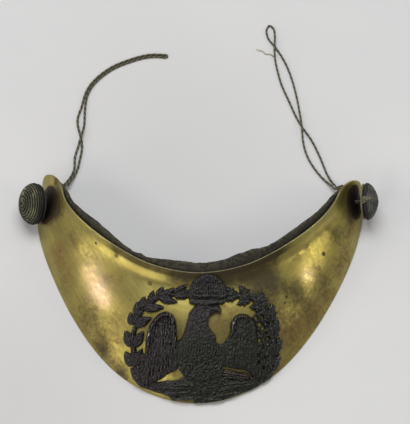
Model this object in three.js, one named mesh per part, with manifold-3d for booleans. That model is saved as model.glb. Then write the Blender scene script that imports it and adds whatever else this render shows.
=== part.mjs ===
import * as THREE from 'three';
import * as BufferGeometryUtils from 'three/addons/utils/BufferGeometryUtils.js';
import Module from 'manifold-3d';

// All sizes are in millimetres, Z is up, and the gorget lies on its back with its horns away from the viewer.

// Sheet sizes
const SHEET = 1.0;
const LINING_GAP = 0.45;
const LINING_THICK = 1.4;
const LINING_INSET = 4.0;
const BULGE = 0.09;
const LIP_START = 4.8;
const LIP_FILLET = 2.0;

// Sections across the crescent, from the middle of the chest to the tip of a horn.
// outerX and outerY lie on the table, neckX, neckY and neckZ are where the dome would end without its lip,
// lip is the slope of the turned lip, and the bands are how far the leather stands past the brass at the neck,
// towards the left and the right horn.
const SECTIONS = [
  { outerX: 0.0, outerY: 0.0, neckX: 0.0, neckY: 48.2, neckZ: 20.3, lip: 0.78, bandLeft: 2.8, bandRight: 2.8 },
  { outerX: 18.3, outerY: 3.9, neckX: 10.2, neckY: 49.4, neckZ: 20.4, lip: 0.78, bandLeft: 2.9, bandRight: 3.1 },
  { outerX: 35.3, outerY: 15.3, neckX: 20.6, neckY: 52.7, neckZ: 20.5, lip: 0.78, bandLeft: 1.2, bandRight: 3.6 },
  { outerX: 49.9, outerY: 34.0, neckX: 31.3, neckY: 59.0, neckZ: 20.4, lip: 0.78, bandLeft: 1.0, bandRight: 2.1 },
  { outerX: 61.0, outerY: 55.0, neckX: 42.7, neckY: 68.1, neckZ: 20.0, lip: 0.76, bandLeft: 2.4, bandRight: 2.4 },
  { outerX: 68.1, outerY: 74.0, neckX: 52.1, neckY: 78.1, neckZ: 19.4, lip: 0.65, bandLeft: 1.4, bandRight: 1.9 },
  { outerX: 70.4, outerY: 90.0, neckX: 57.5, neckY: 88.0, neckZ: 18.7, lip: 0.45, bandLeft: 0.6, bandRight: 0.8 },
  { outerX: 69.2, outerY: 104.5, neckX: 59.9, neckY: 99.5, neckZ: 18.0, lip: 0.4, bandLeft: -1.5, bandRight: -1.5 },
];
const HORN_SKEW = 1.3;
const TIP_START = 6.0;
const TIP_END = 6.7;
const LINING_TIP_START = 5.7;
const LINING_TIP_END = 6.56;
const TIP_CLOSE = 88;
const PLATE_GRID = { along: 30, tip: 4, across: 11 };
const LINING_GRID = { along: 24, tip: 4, across: 8 };

// Emblem sizes, in the slanted plane that the emblem is drawn in.
const EMBLEM_TILT = 27;
const EMBLEM_GAP = 0.3;
const EMBLEM_MARGIN = 0.9;
const EMBLEM_STEP = 9;
const EDGE_HEIGHT = 0.45;
const WREATH = { x: 4.0, y: 26.0, halfWide: 28.6, halfTall: 21.0, power: 2.35 };

// Button and tie sizes
const BUTTON_BACK = 0.8;
const BUTTON_GAP = 0.3;
const BUTTON_BAND = 0.6;
const BUTTON_RINGS = 8;
const BUTTON_SIDES = 16;
const BACK_SIDES = 16;
const BUTTON_GROOVE = 0.14;
const BUTTONS = [
  { name: 'left', radius: 9.2, rise: 6.6, x: -69.1, y: 86.8, z: 8.5, lean: 29, turn: 197 },
  { name: 'right', radius: 8.2, rise: 5.7, x: 70.1, y: 90.2, z: 10.0, lean: 13, turn: -4 },
];
const TIE_RADIUS = 0.9;
const TIE_HOLE = 1.6;
const PIN_HOLE = 0.4;
const PIN_HOLES = [{ t: -3.7, v: 0.89 }, { t: 4.08, v: 0.6 }];

// Cords: rows follow the middle of the two strands, half is half of the distance between them.
const CORD_STEPS = 2;
const CORD_LEFT = { radius: 0.5, up: 0.55, cap: 1.0, steps: 58 };
const CORD_RIGHT = { radius: 0.43, up: 0.48, cap: 1.3, steps: 62 };
const CORD_LEFT_ROWS = [
  { x: -58.0, y: 99.8, half: 0.57, lift: 0, z: 2.2 },
  { x: -55.8, y: 104.5, half: 0.57, lift: 0, z: 0.6 },
  { x: -54.4, y: 109.4, half: 0.75, lift: 0, z: 0.0 },
  { x: -54.1, y: 114.3, half: 1.17, lift: 0, z: 0.0 },
  { x: -53.3, y: 119.6, half: 0.9, lift: 0.25, z: 0.0 },
  { x: -53.1, y: 124.8, half: -0.1, lift: 1.15, z: 0.0 },
  { x: -53.4, y: 130.0, half: -1.25, lift: 0.2, z: 0.0 },
  { x: -53.6, y: 135.0, half: -1.5, lift: 0, z: 0.0 },
  { x: -53.0, y: 140.2, half: -0.85, lift: 0, z: 0.0 },
  { x: -52.2, y: 146.2, half: -0.58, lift: 0, z: 0.0 },
  { x: -50.0, y: 152.0, half: -0.57, lift: 0, z: 0.0 },
  { x: -46.0, y: 157.2, half: -0.57, lift: 0, z: 0.0 },
  { x: -40.6, y: 161.8, half: -0.57, lift: 0, z: 0.0 },
  { x: -34.2, y: 165.2, half: -0.57, lift: 0, z: 0.0 },
  { x: -27.4, y: 167.8, half: -0.57, lift: 0, z: 0.0 },
  { x: -21.8, y: 168.7, half: -0.57, lift: 0, z: 0.0 },
  { x: -16.9, y: 168.4, half: -0.57, lift: 0, z: 0.0 },
];
const CORD_RIGHT_ROWS = [
  { x: 59.6, y: 100.2, half: 0.5, lift: 0, z: 2.2 },
  { x: 57.1, y: 103.8, half: 0.8, lift: 0, z: 0.6 },
  { x: 54.2, y: 108.1, half: 1.48, lift: 0, z: 0.0 },
  { x: 51.4, y: 113.6, half: 2.3, lift: 0, z: 0.0 },
  { x: 48.9, y: 119.6, half: 2.5, lift: 0, z: 0.0 },
  { x: 46.7, y: 126.2, half: 1.7, lift: 0.2, z: 0.0 },
  { x: 44.5, y: 132.9, half: 0.0, lift: 1.0, z: 0.0 },
  { x: 42.5, y: 139.8, half: -1.2, lift: 0.1, z: 0.0 },
  { x: 40.5, y: 147.2, half: -2.0, lift: 0, z: 0.0 },
  { x: 38.3, y: 154.5, half: -2.6, lift: 0, z: 0.0 },
  { x: 36.4, y: 161.4, half: -2.5, lift: 0, z: 0.0 },
  { x: 34.3, y: 168.4, half: -1.7, lift: -0.1, z: 0.0 },
  { x: 32.4, y: 174.9, half: 0.0, lift: -1.0, z: 0.0 },
  { x: 31.0, y: 179.6, half: 1.6, lift: -0.15, z: 0.0 },
  { x: 30.4, y: 184.0, half: 1.7, lift: 0, z: 0.0 },
];

// Knots behind the horns, and the way of each tie from its hole to its knot
const KNOT_SIZE = [1.7, 1.3, 1.2];
const KNOTS = {
  left: { at: [-60.2, 97.9, 3.4], turn: 60 },
  right: { at: [62.0, 99.9, 3.3], turn: 130 },
};
const TIE_INSIDE = {
  left: [[-61.0, 90.2, 4.4], [-60.6, 93.0, 4.0], [-60.3, 95.8, 3.9]],
  right: [[61.2, 91.6, 8.2], [61.2, 94.6, 6.2], [61.6, 97.9, 4.3]],
};

const degrees = Math.PI / 180;
const lerp = (a, b, t) => a + (b - a) * t;
const clamp = (t, a, b) => Math.min(b, Math.max(a, t));
const smooth = (a, b, t) => {
  const s = clamp((t - a) / (b - a), 0, 1);
  return s * s * (3 - 2 * s);
};

// Natural cubic spline through values at whole numbers from first.
function spline(values, first) {
  const n = values.length;
  const bend = new Array(n).fill(0);
  const c = new Array(n).fill(0);
  const d = new Array(n).fill(0);
  for (let i = 1; i < n - 1; i += 1) {
    const rhs = 6 * (values[i + 1] - 2 * values[i] + values[i - 1]);
    const m = 4 - c[i - 1];
    c[i] = 1 / m;
    d[i] = (rhs - d[i - 1]) / m;
  }
  for (let i = n - 2; i > 0; i -= 1) {
    bend[i] = d[i] - c[i] * bend[i + 1];
  }
  return (t) => {
    const i = clamp(Math.floor(t - first), 0, n - 2);
    const q = t - first - i;
    const p = 1 - q;
    const curve = ((p * p * p - p) * bend[i] + (q * q * q - q) * bend[i + 1]) / 6;
    return p * values[i] + q * values[i + 1] + curve;
  };
}

// The same, through a column of the section table and its mirrored or left column.
function column(key, sign, leftKey = key) {
  const n = SECTIONS.length - 1;
  const values = [];
  for (let i = -n; i <= n; i += 1) {
    values.push(i < 0 ? sign * SECTIONS[-i][leftKey] : SECTIONS[i][key]);
  }
  return spline(values, -n);
}

const outerX = column('outerX', -1);
const outerY = column('outerY', 1);
const neckX = column('neckX', -1);
const neckY = column('neckY', 1);
const neckZ = column('neckZ', 1);
const lipSlope = column('lip', 1);
const bandWide = column('bandRight', 1, 'bandLeft');

function chordLength(t) {
  return Math.hypot(neckX(t) - outerX(t), neckY(t) - outerY(t), neckZ(t));
}

// A point of the outer surface: t runs along the crescent, v from the outer edge (0) to the neck (1).
function surface(t, v) {
  const dx = neckX(t) - outerX(t);
  const dy = neckY(t) - outerY(t);
  const dz = neckZ(t);
  const flat = Math.hypot(dx, dy);
  const length = Math.hypot(flat, dz);
  const rise = 4 * BULGE * length * v * (1 - v);
  const tilt = Math.atan2(dz, flat);
  const hx = dx / flat;
  const hy = dy / flat;
  const end = tilt - Math.atan(4 * BULGE);
  const tau = Math.max(0, (Math.abs(t) - TIP_START) / (TIP_END - TIP_START));
  const g = 2 * v - 1;
  const h = 0.5 * (g + Math.sqrt(g * g + 0.02));
  const s = Math.hypot(h, tau) + (g - h) * (1 - tau);
  const away = 0.5 * length * (1 - s);
  const short = LIP_START - away;
  const lift = lipSlope(t) * 0.5 * (short + Math.sqrt(short * short + LIP_FILLET * LIP_FILLET));
  const inward = -Math.sin(tilt) * rise - Math.sin(end) * lift;
  const up = Math.cos(tilt) * rise + Math.cos(end) * lift;
  const skew = HORN_SKEW * smooth(5.0, 7.2, Math.abs(t));
  return new THREE.Vector3(
    outerX(t) + dx * v + hx * inward + skew,
    outerY(t) + dy * v + hy * inward,
    dz * v + up,
  );
}

function surfaceNormal(t, v) {
  const e = 1e-3;
  const a = surface(t + e, v).sub(surface(t - e, v));
  const b = surface(t, v + e).sub(surface(t, v - e));
  return a.cross(b).normalize();
}

function offsetPoint(t, v, depth) {
  return surface(t, v).addScaledVector(surfaceNormal(t, v), -depth);
}

// Stations along the crescent, closer together round the tips.
function stations(tipStart, tipEnd, middle, tip) {
  const list = [];
  for (let i = tip; i > 0; i -= 1) {
    const angle = (TIP_CLOSE * degrees * i) / tip;
    list.push(-tipStart - (tipEnd - tipStart) * Math.sin(angle));
  }
  for (let i = 0; i <= middle; i += 1) {
    list.push(lerp(-tipStart, tipStart, i / middle));
  }
  for (let i = 1; i <= tip; i += 1) {
    const angle = (TIP_CLOSE * degrees * i) / tip;
    list.push(tipStart + (tipEnd - tipStart) * Math.sin(angle));
  }
  return list;
}

function tipShare(t, tipStart, tipEnd) {
  const tau = clamp((Math.abs(t) - tipStart) / (tipEnd - tipStart), 0, 1);
  return Math.sqrt(Math.max(0, 1 - tau * tau));
}

// The v at which the sheet's face at this depth meets the table.
function tableMeet(t, low, depth) {
  if (offsetPoint(t, low, depth).z >= 0) {
    return low;
  }
  let a = low;
  let b = 0.5;
  for (let i = 0; i < 40; i += 1) {
    const mid = 0.5 * (a + b);
    if (offsetPoint(t, mid, depth).z < 0) {
      a = mid;
    } else {
      b = mid;
    }
  }
  return b;
}

// A closed sheet between two depths below the outer surface.
function sheet(list, across, range, top, bottom, seat) {
  const positions = [];
  const index = [];
  const columns = across + 1;
  for (const depth of [top, bottom]) {
    for (const t of list) {
      const [low, high] = range(t);
      const from = seat ? tableMeet(t, low, depth) : low;
      for (let j = 0; j < columns; j += 1) {
        const s = j / across;
        const v = from + (high - from) * (1 - (1 - s) ** 1.45);
        const p = offsetPoint(t, v, depth);
        if (seat && j === 0 && low < 0.02) {
          p.z = 0;
        }
        positions.push(p.x, p.y, p.z);
      }
    }
  }
  const layer = list.length * columns;
  const at = (k, i, j) => k * layer + i * columns + j;
  const quad = (a, b, c, d) => index.push(a, b, c, a, c, d);
  for (let i = 0; i < list.length - 1; i += 1) {
    for (let j = 0; j < across; j += 1) {
      quad(at(0, i, j), at(0, i + 1, j), at(0, i + 1, j + 1), at(0, i, j + 1));
      quad(at(1, i, j), at(1, i, j + 1), at(1, i + 1, j + 1), at(1, i + 1, j));
    }
    quad(at(0, i, 0), at(1, i, 0), at(1, i + 1, 0), at(0, i + 1, 0));
    quad(at(0, i, across), at(0, i + 1, across), at(1, i + 1, across), at(1, i, across));
  }
  const last = list.length - 1;
  for (let j = 0; j < across; j += 1) {
    quad(at(0, 0, j), at(0, 0, j + 1), at(1, 0, j + 1), at(1, 0, j));
    quad(at(0, last, j), at(1, last, j), at(1, last, j + 1), at(0, last, j + 1));
  }
  const g = new THREE.BufferGeometry();
  g.setAttribute('position', new THREE.Float32BufferAttribute(positions, 3));
  g.setIndex(index);
  return g;
}

// Solids for joining and cutting
const wasm = await Module();
wasm.setup();

function solidOf(geometry) {
  const g = geometry.clone();
  g.deleteAttribute('normal');
  g.deleteAttribute('uv');
  const merged = BufferGeometryUtils.mergeVertices(g, 1e-5);
  const corners = merged.index.array;
  const kept = [];
  for (let i = 0; i < corners.length; i += 3) {
    const [a, b, c] = [corners[i], corners[i + 1], corners[i + 2]];
    if (a !== b && b !== c && c !== a) {
      kept.push(a, b, c);
    }
  }
  const mesh = new wasm.Mesh({
    numProp: 3,
    vertProperties: new Float32Array(merged.attributes.position.array),
    triVerts: new Uint32Array(kept),
  });
  mesh.merge();
  return new wasm.Manifold(mesh);
}

function geometryOf(solid) {
  const mesh = solid.getMesh();
  const g = new THREE.BufferGeometry();
  const count = mesh.vertProperties.length / mesh.numProp;
  const positions = new Float32Array(count * 3);
  for (let i = 0; i < count; i += 1) {
    positions[3 * i] = mesh.vertProperties[i * mesh.numProp];
    positions[3 * i + 1] = mesh.vertProperties[i * mesh.numProp + 1];
    positions[3 * i + 2] = mesh.vertProperties[i * mesh.numProp + 2];
  }
  g.setAttribute('position', new THREE.BufferAttribute(positions, 3));
  g.setIndex(Array.from(mesh.triVerts));
  return g;
}

// A round bar from one point to another.
function bar(a, b, radius, sides) {
  const g = new THREE.CylinderGeometry(radius, radius, a.distanceTo(b), sides);
  const turn = new THREE.Quaternion().setFromUnitVectors(new THREE.Vector3(0, 1, 0), b.clone().sub(a).normalize());
  g.applyQuaternion(turn);
  const mid = a.clone().lerp(b, 0.5);
  g.translate(mid.x, mid.y, mid.z);
  return g;
}

// A round tube that follows points.
function tube(points, radius, sides, steps) {
  const curve = new THREE.CatmullRomCurve3(points, false, 'centripetal');
  const shape = new THREE.Shape();
  for (let i = 0; i < sides; i += 1) {
    const a = (2 * Math.PI * i) / sides;
    const x = radius * Math.cos(a);
    const y = radius * Math.sin(a);
    if (i === 0) {
      shape.moveTo(x, y);
    } else {
      shape.lineTo(x, y);
    }
  }
  return new THREE.ExtrudeGeometry(shape, { steps, bevelEnabled: false, extrudePath: curve });
}

// Emblem parts, drawn flat with their backs at height 0. Each row of an outline is a corner.
const leafOutline = (long, wide) => [
  [0, 0], [0.3 * long, -0.42 * wide], [0.68 * long, -0.4 * wide],
  [long, 0], [0.68 * long, 0.4 * wide], [0.3 * long, 0.42 * wide],
];

// Rings step inwards from the outline to a spine, at rising heights.
function relief(drawn, spine, rings) {
  const turnsLeft = THREE.ShapeUtils.area(drawn.map((p) => new THREE.Vector2(p[0], p[1]))) > 0;
  const outline = turnsLeft ? drawn : [...drawn].reverse();
  const pull = (p) => {
    let best = null;
    let near = Infinity;
    for (let i = 0; i < spine.length - 1; i += 1) {
      const [ax, ay] = spine[i];
      const [bx, by] = spine[i + 1];
      const wide = (bx - ax) ** 2 + (by - ay) ** 2;
      const q = clamp(((p[0] - ax) * (bx - ax) + (p[1] - ay) * (by - ay)) / wide, 0, 1);
      const foot = [lerp(ax, bx, q), lerp(ay, by, q)];
      const far = Math.hypot(p[0] - foot[0], p[1] - foot[1]);
      if (far < near) {
        near = far;
        best = foot;
      }
    }
    return best;
  };
  const feet = outline.map(pull);
  const layers = [{ share: 0, height: 0 }, ...rings];
  const positions = [];
  const flat = [];
  for (const layer of layers) {
    const ring = outline.map((p, i) => [lerp(p[0], feet[i][0], layer.share), lerp(p[1], feet[i][1], layer.share)]);
    flat.push(ring.map((p) => new THREE.Vector2(p[0], p[1])));
    for (const p of ring) {
      positions.push(p[0], p[1], layer.height);
    }
  }
  const n = outline.length;
  const index = [];
  const face = (a, b, c) => index.push(a, b, c);
  for (let k = 0; k < layers.length - 1; k += 1) {
    for (let i = 0; i < n; i += 1) {
      const j = (i + 1) % n;
      face(k * n + i, k * n + j, (k + 1) * n + j);
      face(k * n + i, (k + 1) * n + j, (k + 1) * n + i);
    }
  }
  const top = (layers.length - 1) * n;
  for (const [a, b, c] of THREE.ShapeUtils.triangulateShape(flat[0], [])) {
    face(a, c, b);
  }
  if (layers[layers.length - 1].share < 1) {
    for (const [a, b, c] of THREE.ShapeUtils.triangulateShape(flat[layers.length - 1], [])) {
      face(top + a, top + b, top + c);
    }
  }
  const g = new THREE.BufferGeometry();
  g.setAttribute('position', new THREE.Float32BufferAttribute(positions, 3));
  g.setIndex(index);
  return g;
}

const place = (points, x, y, angle) => points.map(([px, py]) => [
  x + px * Math.cos(angle * degrees) - py * Math.sin(angle * degrees),
  y + px * Math.sin(angle * degrees) + py * Math.cos(angle * degrees),
]);

function leaf(x, y, angle, long, wide, height) {
  const outline = place(leafOutline(long, wide), x, y, angle);
  const spine = place([[0.15 * long, 0], [0.85 * long, 0]], x, y, angle);
  return relief(outline, spine, [{ share: 1, height }]);
}

// The middle line of the wreath: side is -1 for the left branch, angle 0 is at the crown.
function wreathPoint(side, angle) {
  const s = Math.sin(angle * degrees);
  const c = Math.cos(angle * degrees);
  const bend = 2 / WREATH.power;
  return [
    WREATH.x + side * WREATH.halfWide * Math.abs(s) ** bend,
    WREATH.y + Math.sign(c) * WREATH.halfTall * Math.abs(c) ** bend,
  ];
}

function wreathHeading(side, angle) {
  const a = wreathPoint(side, angle + 1);
  const b = wreathPoint(side, angle - 1);
  return Math.atan2(b[1] - a[1], b[0] - a[0]) / degrees;
}

// Directions of the emblem's plane: along its height and out of its face
const planeUp = new THREE.Vector3(0, Math.cos(EMBLEM_TILT * degrees), Math.sin(EMBLEM_TILT * degrees));
const planeOut = new THREE.Vector3(0, -Math.sin(EMBLEM_TILT * degrees), Math.cos(EMBLEM_TILT * degrees));

// Branches: clusters of leaves that point to the crown.
const BRANCHES = [
  { side: -1, first: 27, last: 146, count: 8, spread: 44, long: 7.0, wide: 3.7, ahead: 7.6 },
  { side: 1, first: 25, last: 146, count: 8, spread: 50, long: 6.4, wide: 4.2, ahead: 7.4 },
];
const STEM_WIDE = 1.5;
const STEM_HEIGHT = 0.75;
const STEM_STEPS = 14;
const LEAF_HEIGHT = 1.15;

function branchParts(branch) {
  const parts = [];
  for (let i = 0; i < branch.count; i += 1) {
    const angle = lerp(branch.first, branch.last, i / (branch.count - 1));
    const [x, y] = wreathPoint(branch.side, angle);
    const heading = wreathHeading(branch.side, angle);
    const nearEdge = angle > 125 ? 0.72 : 1;
    parts.push(leaf(x, y, heading, branch.ahead, branch.wide, LEAF_HEIGHT));
    parts.push(leaf(x, y, heading + branch.spread, branch.long * nearEdge, branch.wide, LEAF_HEIGHT - 0.1));
    parts.push(leaf(x, y, heading - branch.spread, branch.long * nearEdge, branch.wide, LEAF_HEIGHT - 0.1));
  }
  const inner = [];
  const outer = [];
  for (let i = 0; i <= STEM_STEPS; i += 1) {
    const angle = lerp(14, 172, i / STEM_STEPS);
    const [x, y] = wreathPoint(branch.side, angle);
    const heading = wreathHeading(branch.side, angle) * degrees;
    const nx = -Math.sin(heading) * 0.5 * STEM_WIDE;
    const ny = Math.cos(heading) * 0.5 * STEM_WIDE;
    inner.push([x + nx, y + ny]);
    outer.push([x - nx, y - ny]);
  }
  const outline = [...inner, ...outer.reverse()];
  const spine = inner.map((p, i) => [
    0.5 * (p[0] + outer[STEM_STEPS - i][0]),
    0.5 * (p[1] + outer[STEM_STEPS - i][1]),
  ]);
  parts.push(relief(outline, spine, [{ share: 0.3, height: STEM_HEIGHT }]));
  return parts;
}

// Outlines of the bird and the crown, in the emblem's plane.
const WING_LEFT = [
  [-12.4, 37.4], [-16.2, 35.6], [-19.0, 31.6], [-20.3, 26.0], [-20.9, 19.0], [-21.8, 10.4],
  [-18.8, 7.4], [-14.6, 9.8], [-9.4, 12.4], [-6.4, 15.6], [-5.6, 20.6], [-6.6, 26.4], [-8.0, 32.4], [-9.4, 36.2],
];
const WING_RIGHT = [
  [18.2, 37.0], [21.4, 36.4], [24.0, 34.2], [25.0, 29.4], [26.2, 22.4], [27.4, 14.6],
  [26.4, 9.6], [22.2, 11.6], [17.6, 14.6], [13.0, 16.6], [10.8, 21.4], [12.4, 26.6], [13.6, 32.0], [15.6, 35.8],
];
const BODY = [
  [-1.6, 37.0], [-3.4, 33.0], [-5.0, 29.0], [-6.0, 23.6], [-4.6, 18.4], [-1.0, 14.6], [3.4, 12.8],
  [9.0, 15.0], [12.2, 19.2], [11.0, 23.6], [8.6, 26.4], [7.0, 30.4], [5.4, 34.6],
];
const HEAD = [
  [-1.8, 35.6], [-1.0, 38.6], [0.8, 40.6], [3.4, 41.0], [6.0, 40.4], [8.6, 40.6], [10.2, 39.4],
  [10.0, 38.2], [8.4, 38.4], [6.4, 37.4], [5.6, 35.2],
];
const CROWN = [
  [-2.6, 42.0], [-3.4, 44.6], [-3.8, 47.4], [-2.4, 50.0], [0.6, 51.9], [3.4, 52.6], [4.1, 53.6], [4.8, 52.6],
  [7.8, 51.9], [11.0, 50.0], [12.4, 47.4], [11.8, 44.6], [11.2, 42.0],
];
const BOLT = [
  [-5.4, 15.4], [-6.0, 17.6], [-2.0, 18.4], [4.0, 17.2], [10.0, 15.6], [16.6, 12.6], [20.2, 10.2],
  [15.6, 9.4], [9.6, 11.8], [2.0, 13.8],
];
const FOOT_PLATE = [
  [-13.2, 7.0], [-4.6, 9.2], [2.6, 12.6], [11.0, 12.2], [18.4, 9.6], [25.4, 9.6],
  [19.0, 5.6], [13.6, 3.4], [8.6, 2.1], [3.4, 1.5], [-1.6, 1.9], [-7.6, 3.8],
];

// Long feathers of a wing: start, end, width
const FEATHERS_LEFT = [
  { x0: -16.6, y0: 31.0, x1: -20.0, y1: 10.2 },
  { x0: -14.6, y0: 31.6, x1: -17.2, y1: 9.6 },
  { x0: -12.6, y0: 31.8, x1: -14.0, y1: 10.8 },
  { x0: -10.6, y0: 31.4, x1: -10.8, y1: 12.8 },
  { x0: -9.0, y0: 30.0, x1: -7.8, y1: 15.4 },
];
const FEATHERS_RIGHT = [
  { x0: 22.6, y0: 31.0, x1: 25.8, y1: 11.6 },
  { x0: 20.8, y0: 31.4, x1: 23.0, y1: 12.4 },
  { x0: 18.8, y0: 31.4, x1: 19.8, y1: 14.2 },
  { x0: 17.0, y0: 30.6, x1: 16.6, y1: 15.6 },
  { x0: 15.2, y0: 28.8, x1: 13.4, y1: 17.4 },
];
const BOTTOM_LEAVES = [
  { x: -3.0, y: 5.4, angle: 160, long: 8.4 },
  { x: -1.0, y: 4.2, angle: 186, long: 8.6 },
  { x: 2.0, y: 6.6, angle: 150, long: 8.0 },
  { x: 9.0, y: 4.6, angle: 12, long: 8.4 },
  { x: 10.0, y: 6.0, angle: 30, long: 8.4 },
  { x: 16.6, y: 6.2, angle: 22, long: 8.4 },
];
const CROWN_ARCHES = [-4.6, -2.3, 0, 2.3, 4.6];

// The part of the plate that the emblem may cover, as a prism round the drawing.
function emblemField() {
  const outline = [[60, 70], [-60, 70]];
  for (let i = 0; i <= 24; i += 1) {
    const t = lerp(-3.4, 3.4, i / 24);
    const p = surface(t, EMBLEM_MARGIN / chordLength(t));
    outline.push([p.x, p.dot(planeUp)]);
  }
  return relief(outline, [[0, 60], [1, 60]], [{ share: 0, height: 6 }]).translate(0, 0, -1e-4);
}

function emblemSolid() {
  const parts = [];
  const low = [{ share: 0.05, height: EDGE_HEIGHT }];
  for (const branch of BRANCHES) {
    parts.push(...branchParts(branch));
  }
  parts.push(relief(WING_LEFT, [[-13.4, 32], [-14.4, 14]], [...low, { share: 0.35, height: 1.1 }]));
  parts.push(relief(WING_RIGHT, [[19.4, 32], [19.8, 17]], [...low, { share: 0.35, height: 1.1 }]));
  for (const row of [...FEATHERS_LEFT, ...FEATHERS_RIGHT]) {
    const angle = Math.atan2(row.y1 - row.y0, row.x1 - row.x0) / degrees;
    const long = Math.hypot(row.y1 - row.y0, row.x1 - row.x0);
    parts.push(leaf(row.x0, row.y0, angle, long, 2.6, 1.75));
  }
  parts.push(relief(BODY, [[2.2, 34], [3.4, 18]], [...low, { share: 0.3, height: 1.5 }, { share: 0.7, height: 2.3 }]));
  parts.push(relief(HEAD, [[1.8, 37.4], [7.6, 39.4]], [...low, { share: 0.4, height: 1.7 }, { share: 0.75, height: 2.1 }]));
  parts.push(relief(BOLT, [[-3.0, 16.6], [6.0, 14.6], [16.4, 11.4]], [...low, { share: 0.6, height: 1.9 }]));
  parts.push(relief(FOOT_PLATE, [[-6.0, 6.0], [4.0, 6.6], [16.0, 7.0]], [...low, { share: 0.5, height: 0.9 }]));
  for (const row of BOTTOM_LEAVES) {
    parts.push(leaf(row.x, row.y, row.angle, row.long, 3.2, 1.5));
  }
  parts.push(relief(CROWN, [[1.6, 47.0], [6.6, 47.0]], [...low, { share: 0.25, height: 1.1 }, { share: 0.7, height: 1.6 }]));
  for (const shift of CROWN_ARCHES) {
    parts.push(leaf(4.2 + 1.15 * shift, 44.4, 90 - 3.2 * shift, 7.2, 1.5, 2.1));
  }
  const band = [[-2.8, 42.2], [-2.8, 44.4], [11.4, 44.4], [11.4, 42.2]];
  parts.push(relief(band, [[-1.4, 43.3], [10.0, 43.3]], [...low, { share: 0.35, height: 1.9 }]));
  const whole = parts.map(solidOf).reduce((all, part) => all.add(part));
  return whole.intersect(solidOf(emblemField()));
}

// Splits every edge that is longer than the given length, so that a flat drawing can be bent.
function refine(geometry, longest) {
  const points = [];
  const p = geometry.attributes.position;
  for (let i = 0; i < p.count; i += 1) {
    points.push([p.getX(i), p.getY(i), p.getZ(i)]);
  }
  let faces = [];
  for (let i = 0; i < geometry.index.count; i += 3) {
    faces.push([geometry.index.getX(i), geometry.index.getX(i + 1), geometry.index.getX(i + 2)]);
  }
  const reach = (a, b) => Math.hypot(points[a][0] - points[b][0], points[a][1] - points[b][1]);
  for (let round = 0; round < 12; round += 1) {
    const middles = new Map();
    const next = [];
    let split = 0;
    const longOf = (f) => [0, 1, 2].map((k) => [reach(f[k], f[(k + 1) % 3]), k]).sort((x, y) => y[0] - x[0])[0];
    const wanted = new Set();
    for (const f of faces) {
      const [length, k] = longOf(f);
      if (length > longest) {
        const a = f[k];
        const b = f[(k + 1) % 3];
        wanted.add(Math.min(a, b) * 1e6 + Math.max(a, b));
      }
    }
    if (wanted.size === 0) {
      break;
    }
    const middle = (a, b) => {
      const key = Math.min(a, b) * 1e6 + Math.max(a, b);
      if (!wanted.has(key)) {
        return -1;
      }
      if (!middles.has(key)) {
        points.push([0, 1, 2].map((k) => 0.5 * (points[a][k] + points[b][k])));
        middles.set(key, points.length - 1);
      }
      return middles.get(key);
    };
    for (const [a, b, c] of faces) {
      const ab = middle(a, b);
      const bc = middle(b, c);
      const ca = middle(c, a);
      const count = (ab >= 0) + (bc >= 0) + (ca >= 0);
      split += count;
      if (count === 0) {
        next.push([a, b, c]);
      } else if (count === 3) {
        next.push([a, ab, ca], [ab, b, bc], [ca, bc, c], [ab, bc, ca]);
      } else {
        const turned = [[a, b, c, ab, bc, ca], [b, c, a, bc, ca, ab], [c, a, b, ca, ab, bc]];
        const one = turned.find((row) => (count === 1 ? row[3] >= 0 : row[3] >= 0 && row[4] >= 0));
        const [x, y, z, xy, yz] = one;
        if (count === 1) {
          next.push([x, xy, z], [xy, y, z]);
        } else {
          next.push([xy, y, yz], [x, xy, yz], [x, yz, z]);
        }
      }
    }
    faces = next;
  }
  const g = new THREE.BufferGeometry();
  g.setAttribute('position', new THREE.Float32BufferAttribute(points.flat(), 3));
  g.setIndex(faces.flat());
  return g;
}

// The surface point that lies straight below a point of the emblem's plane.
function footOf(x, y) {
  let t = x / 17;
  let v = y / 57;
  for (let i = 0; i < 30; i += 1) {
    const e = 1e-4;
    const p = surface(t, v);
    const pt = surface(t + e, v);
    const pv = surface(t, v + e);
    const fx = p.x - x;
    const fy = p.dot(planeUp) - y;
    const a = (pt.x - p.x) / e;
    const b = (pv.x - p.x) / e;
    const c = (pt.dot(planeUp) - p.dot(planeUp)) / e;
    const d = (pv.dot(planeUp) - p.dot(planeUp)) / e;
    const det = a * d - b * c;
    t -= clamp((d * fx - b * fy) / det, -0.5, 0.5);
    v -= clamp((a * fy - c * fx) / det, -0.2, 0.2);
  }
  return surface(t, v);
}

function bendToPlate(geometry) {
  const p = geometry.attributes.position;
  for (let i = 0; i < p.count; i += 1) {
    const foot = footOf(p.getX(i), p.getY(i));
    const point = foot.addScaledVector(planeOut, EMBLEM_GAP / 0.92 + p.getZ(i));
    p.setXYZ(i, point.x, point.y, point.z);
  }
  return geometry;
}

// Buttons: a turned dome with ring grooves, a flat back, and a tie through the horn
function buttonAxis(row) {
  const flat = Math.cos(row.lean * degrees);
  return new THREE.Vector3(
    flat * Math.cos(row.turn * degrees),
    flat * Math.sin(row.turn * degrees),
    Math.sin(row.lean * degrees),
  );
}

function buttonProfile(row) {
  const foot = BUTTON_BACK + BUTTON_GAP;
  const points = [new THREE.Vector2(0, foot), new THREE.Vector2(row.radius - 0.7, foot)];
  for (let i = 0; i <= 2 * BUTTON_RINGS; i += 1) {
    const angle = (i / (2 * BUTTON_RINGS)) * 84 * degrees;
    const groove = i % 2 === 1 ? BUTTON_GROOVE : -BUTTON_GROOVE;
    const out = row.radius - 0.15 + groove;
    const up = row.rise - BUTTON_BAND + groove;
    points.push(new THREE.Vector2(out * Math.cos(angle) ** 0.95, foot + BUTTON_BAND + up * Math.sin(angle)));
  }
  points.push(new THREE.Vector2(0, foot + row.rise));
  return points;
}

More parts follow.
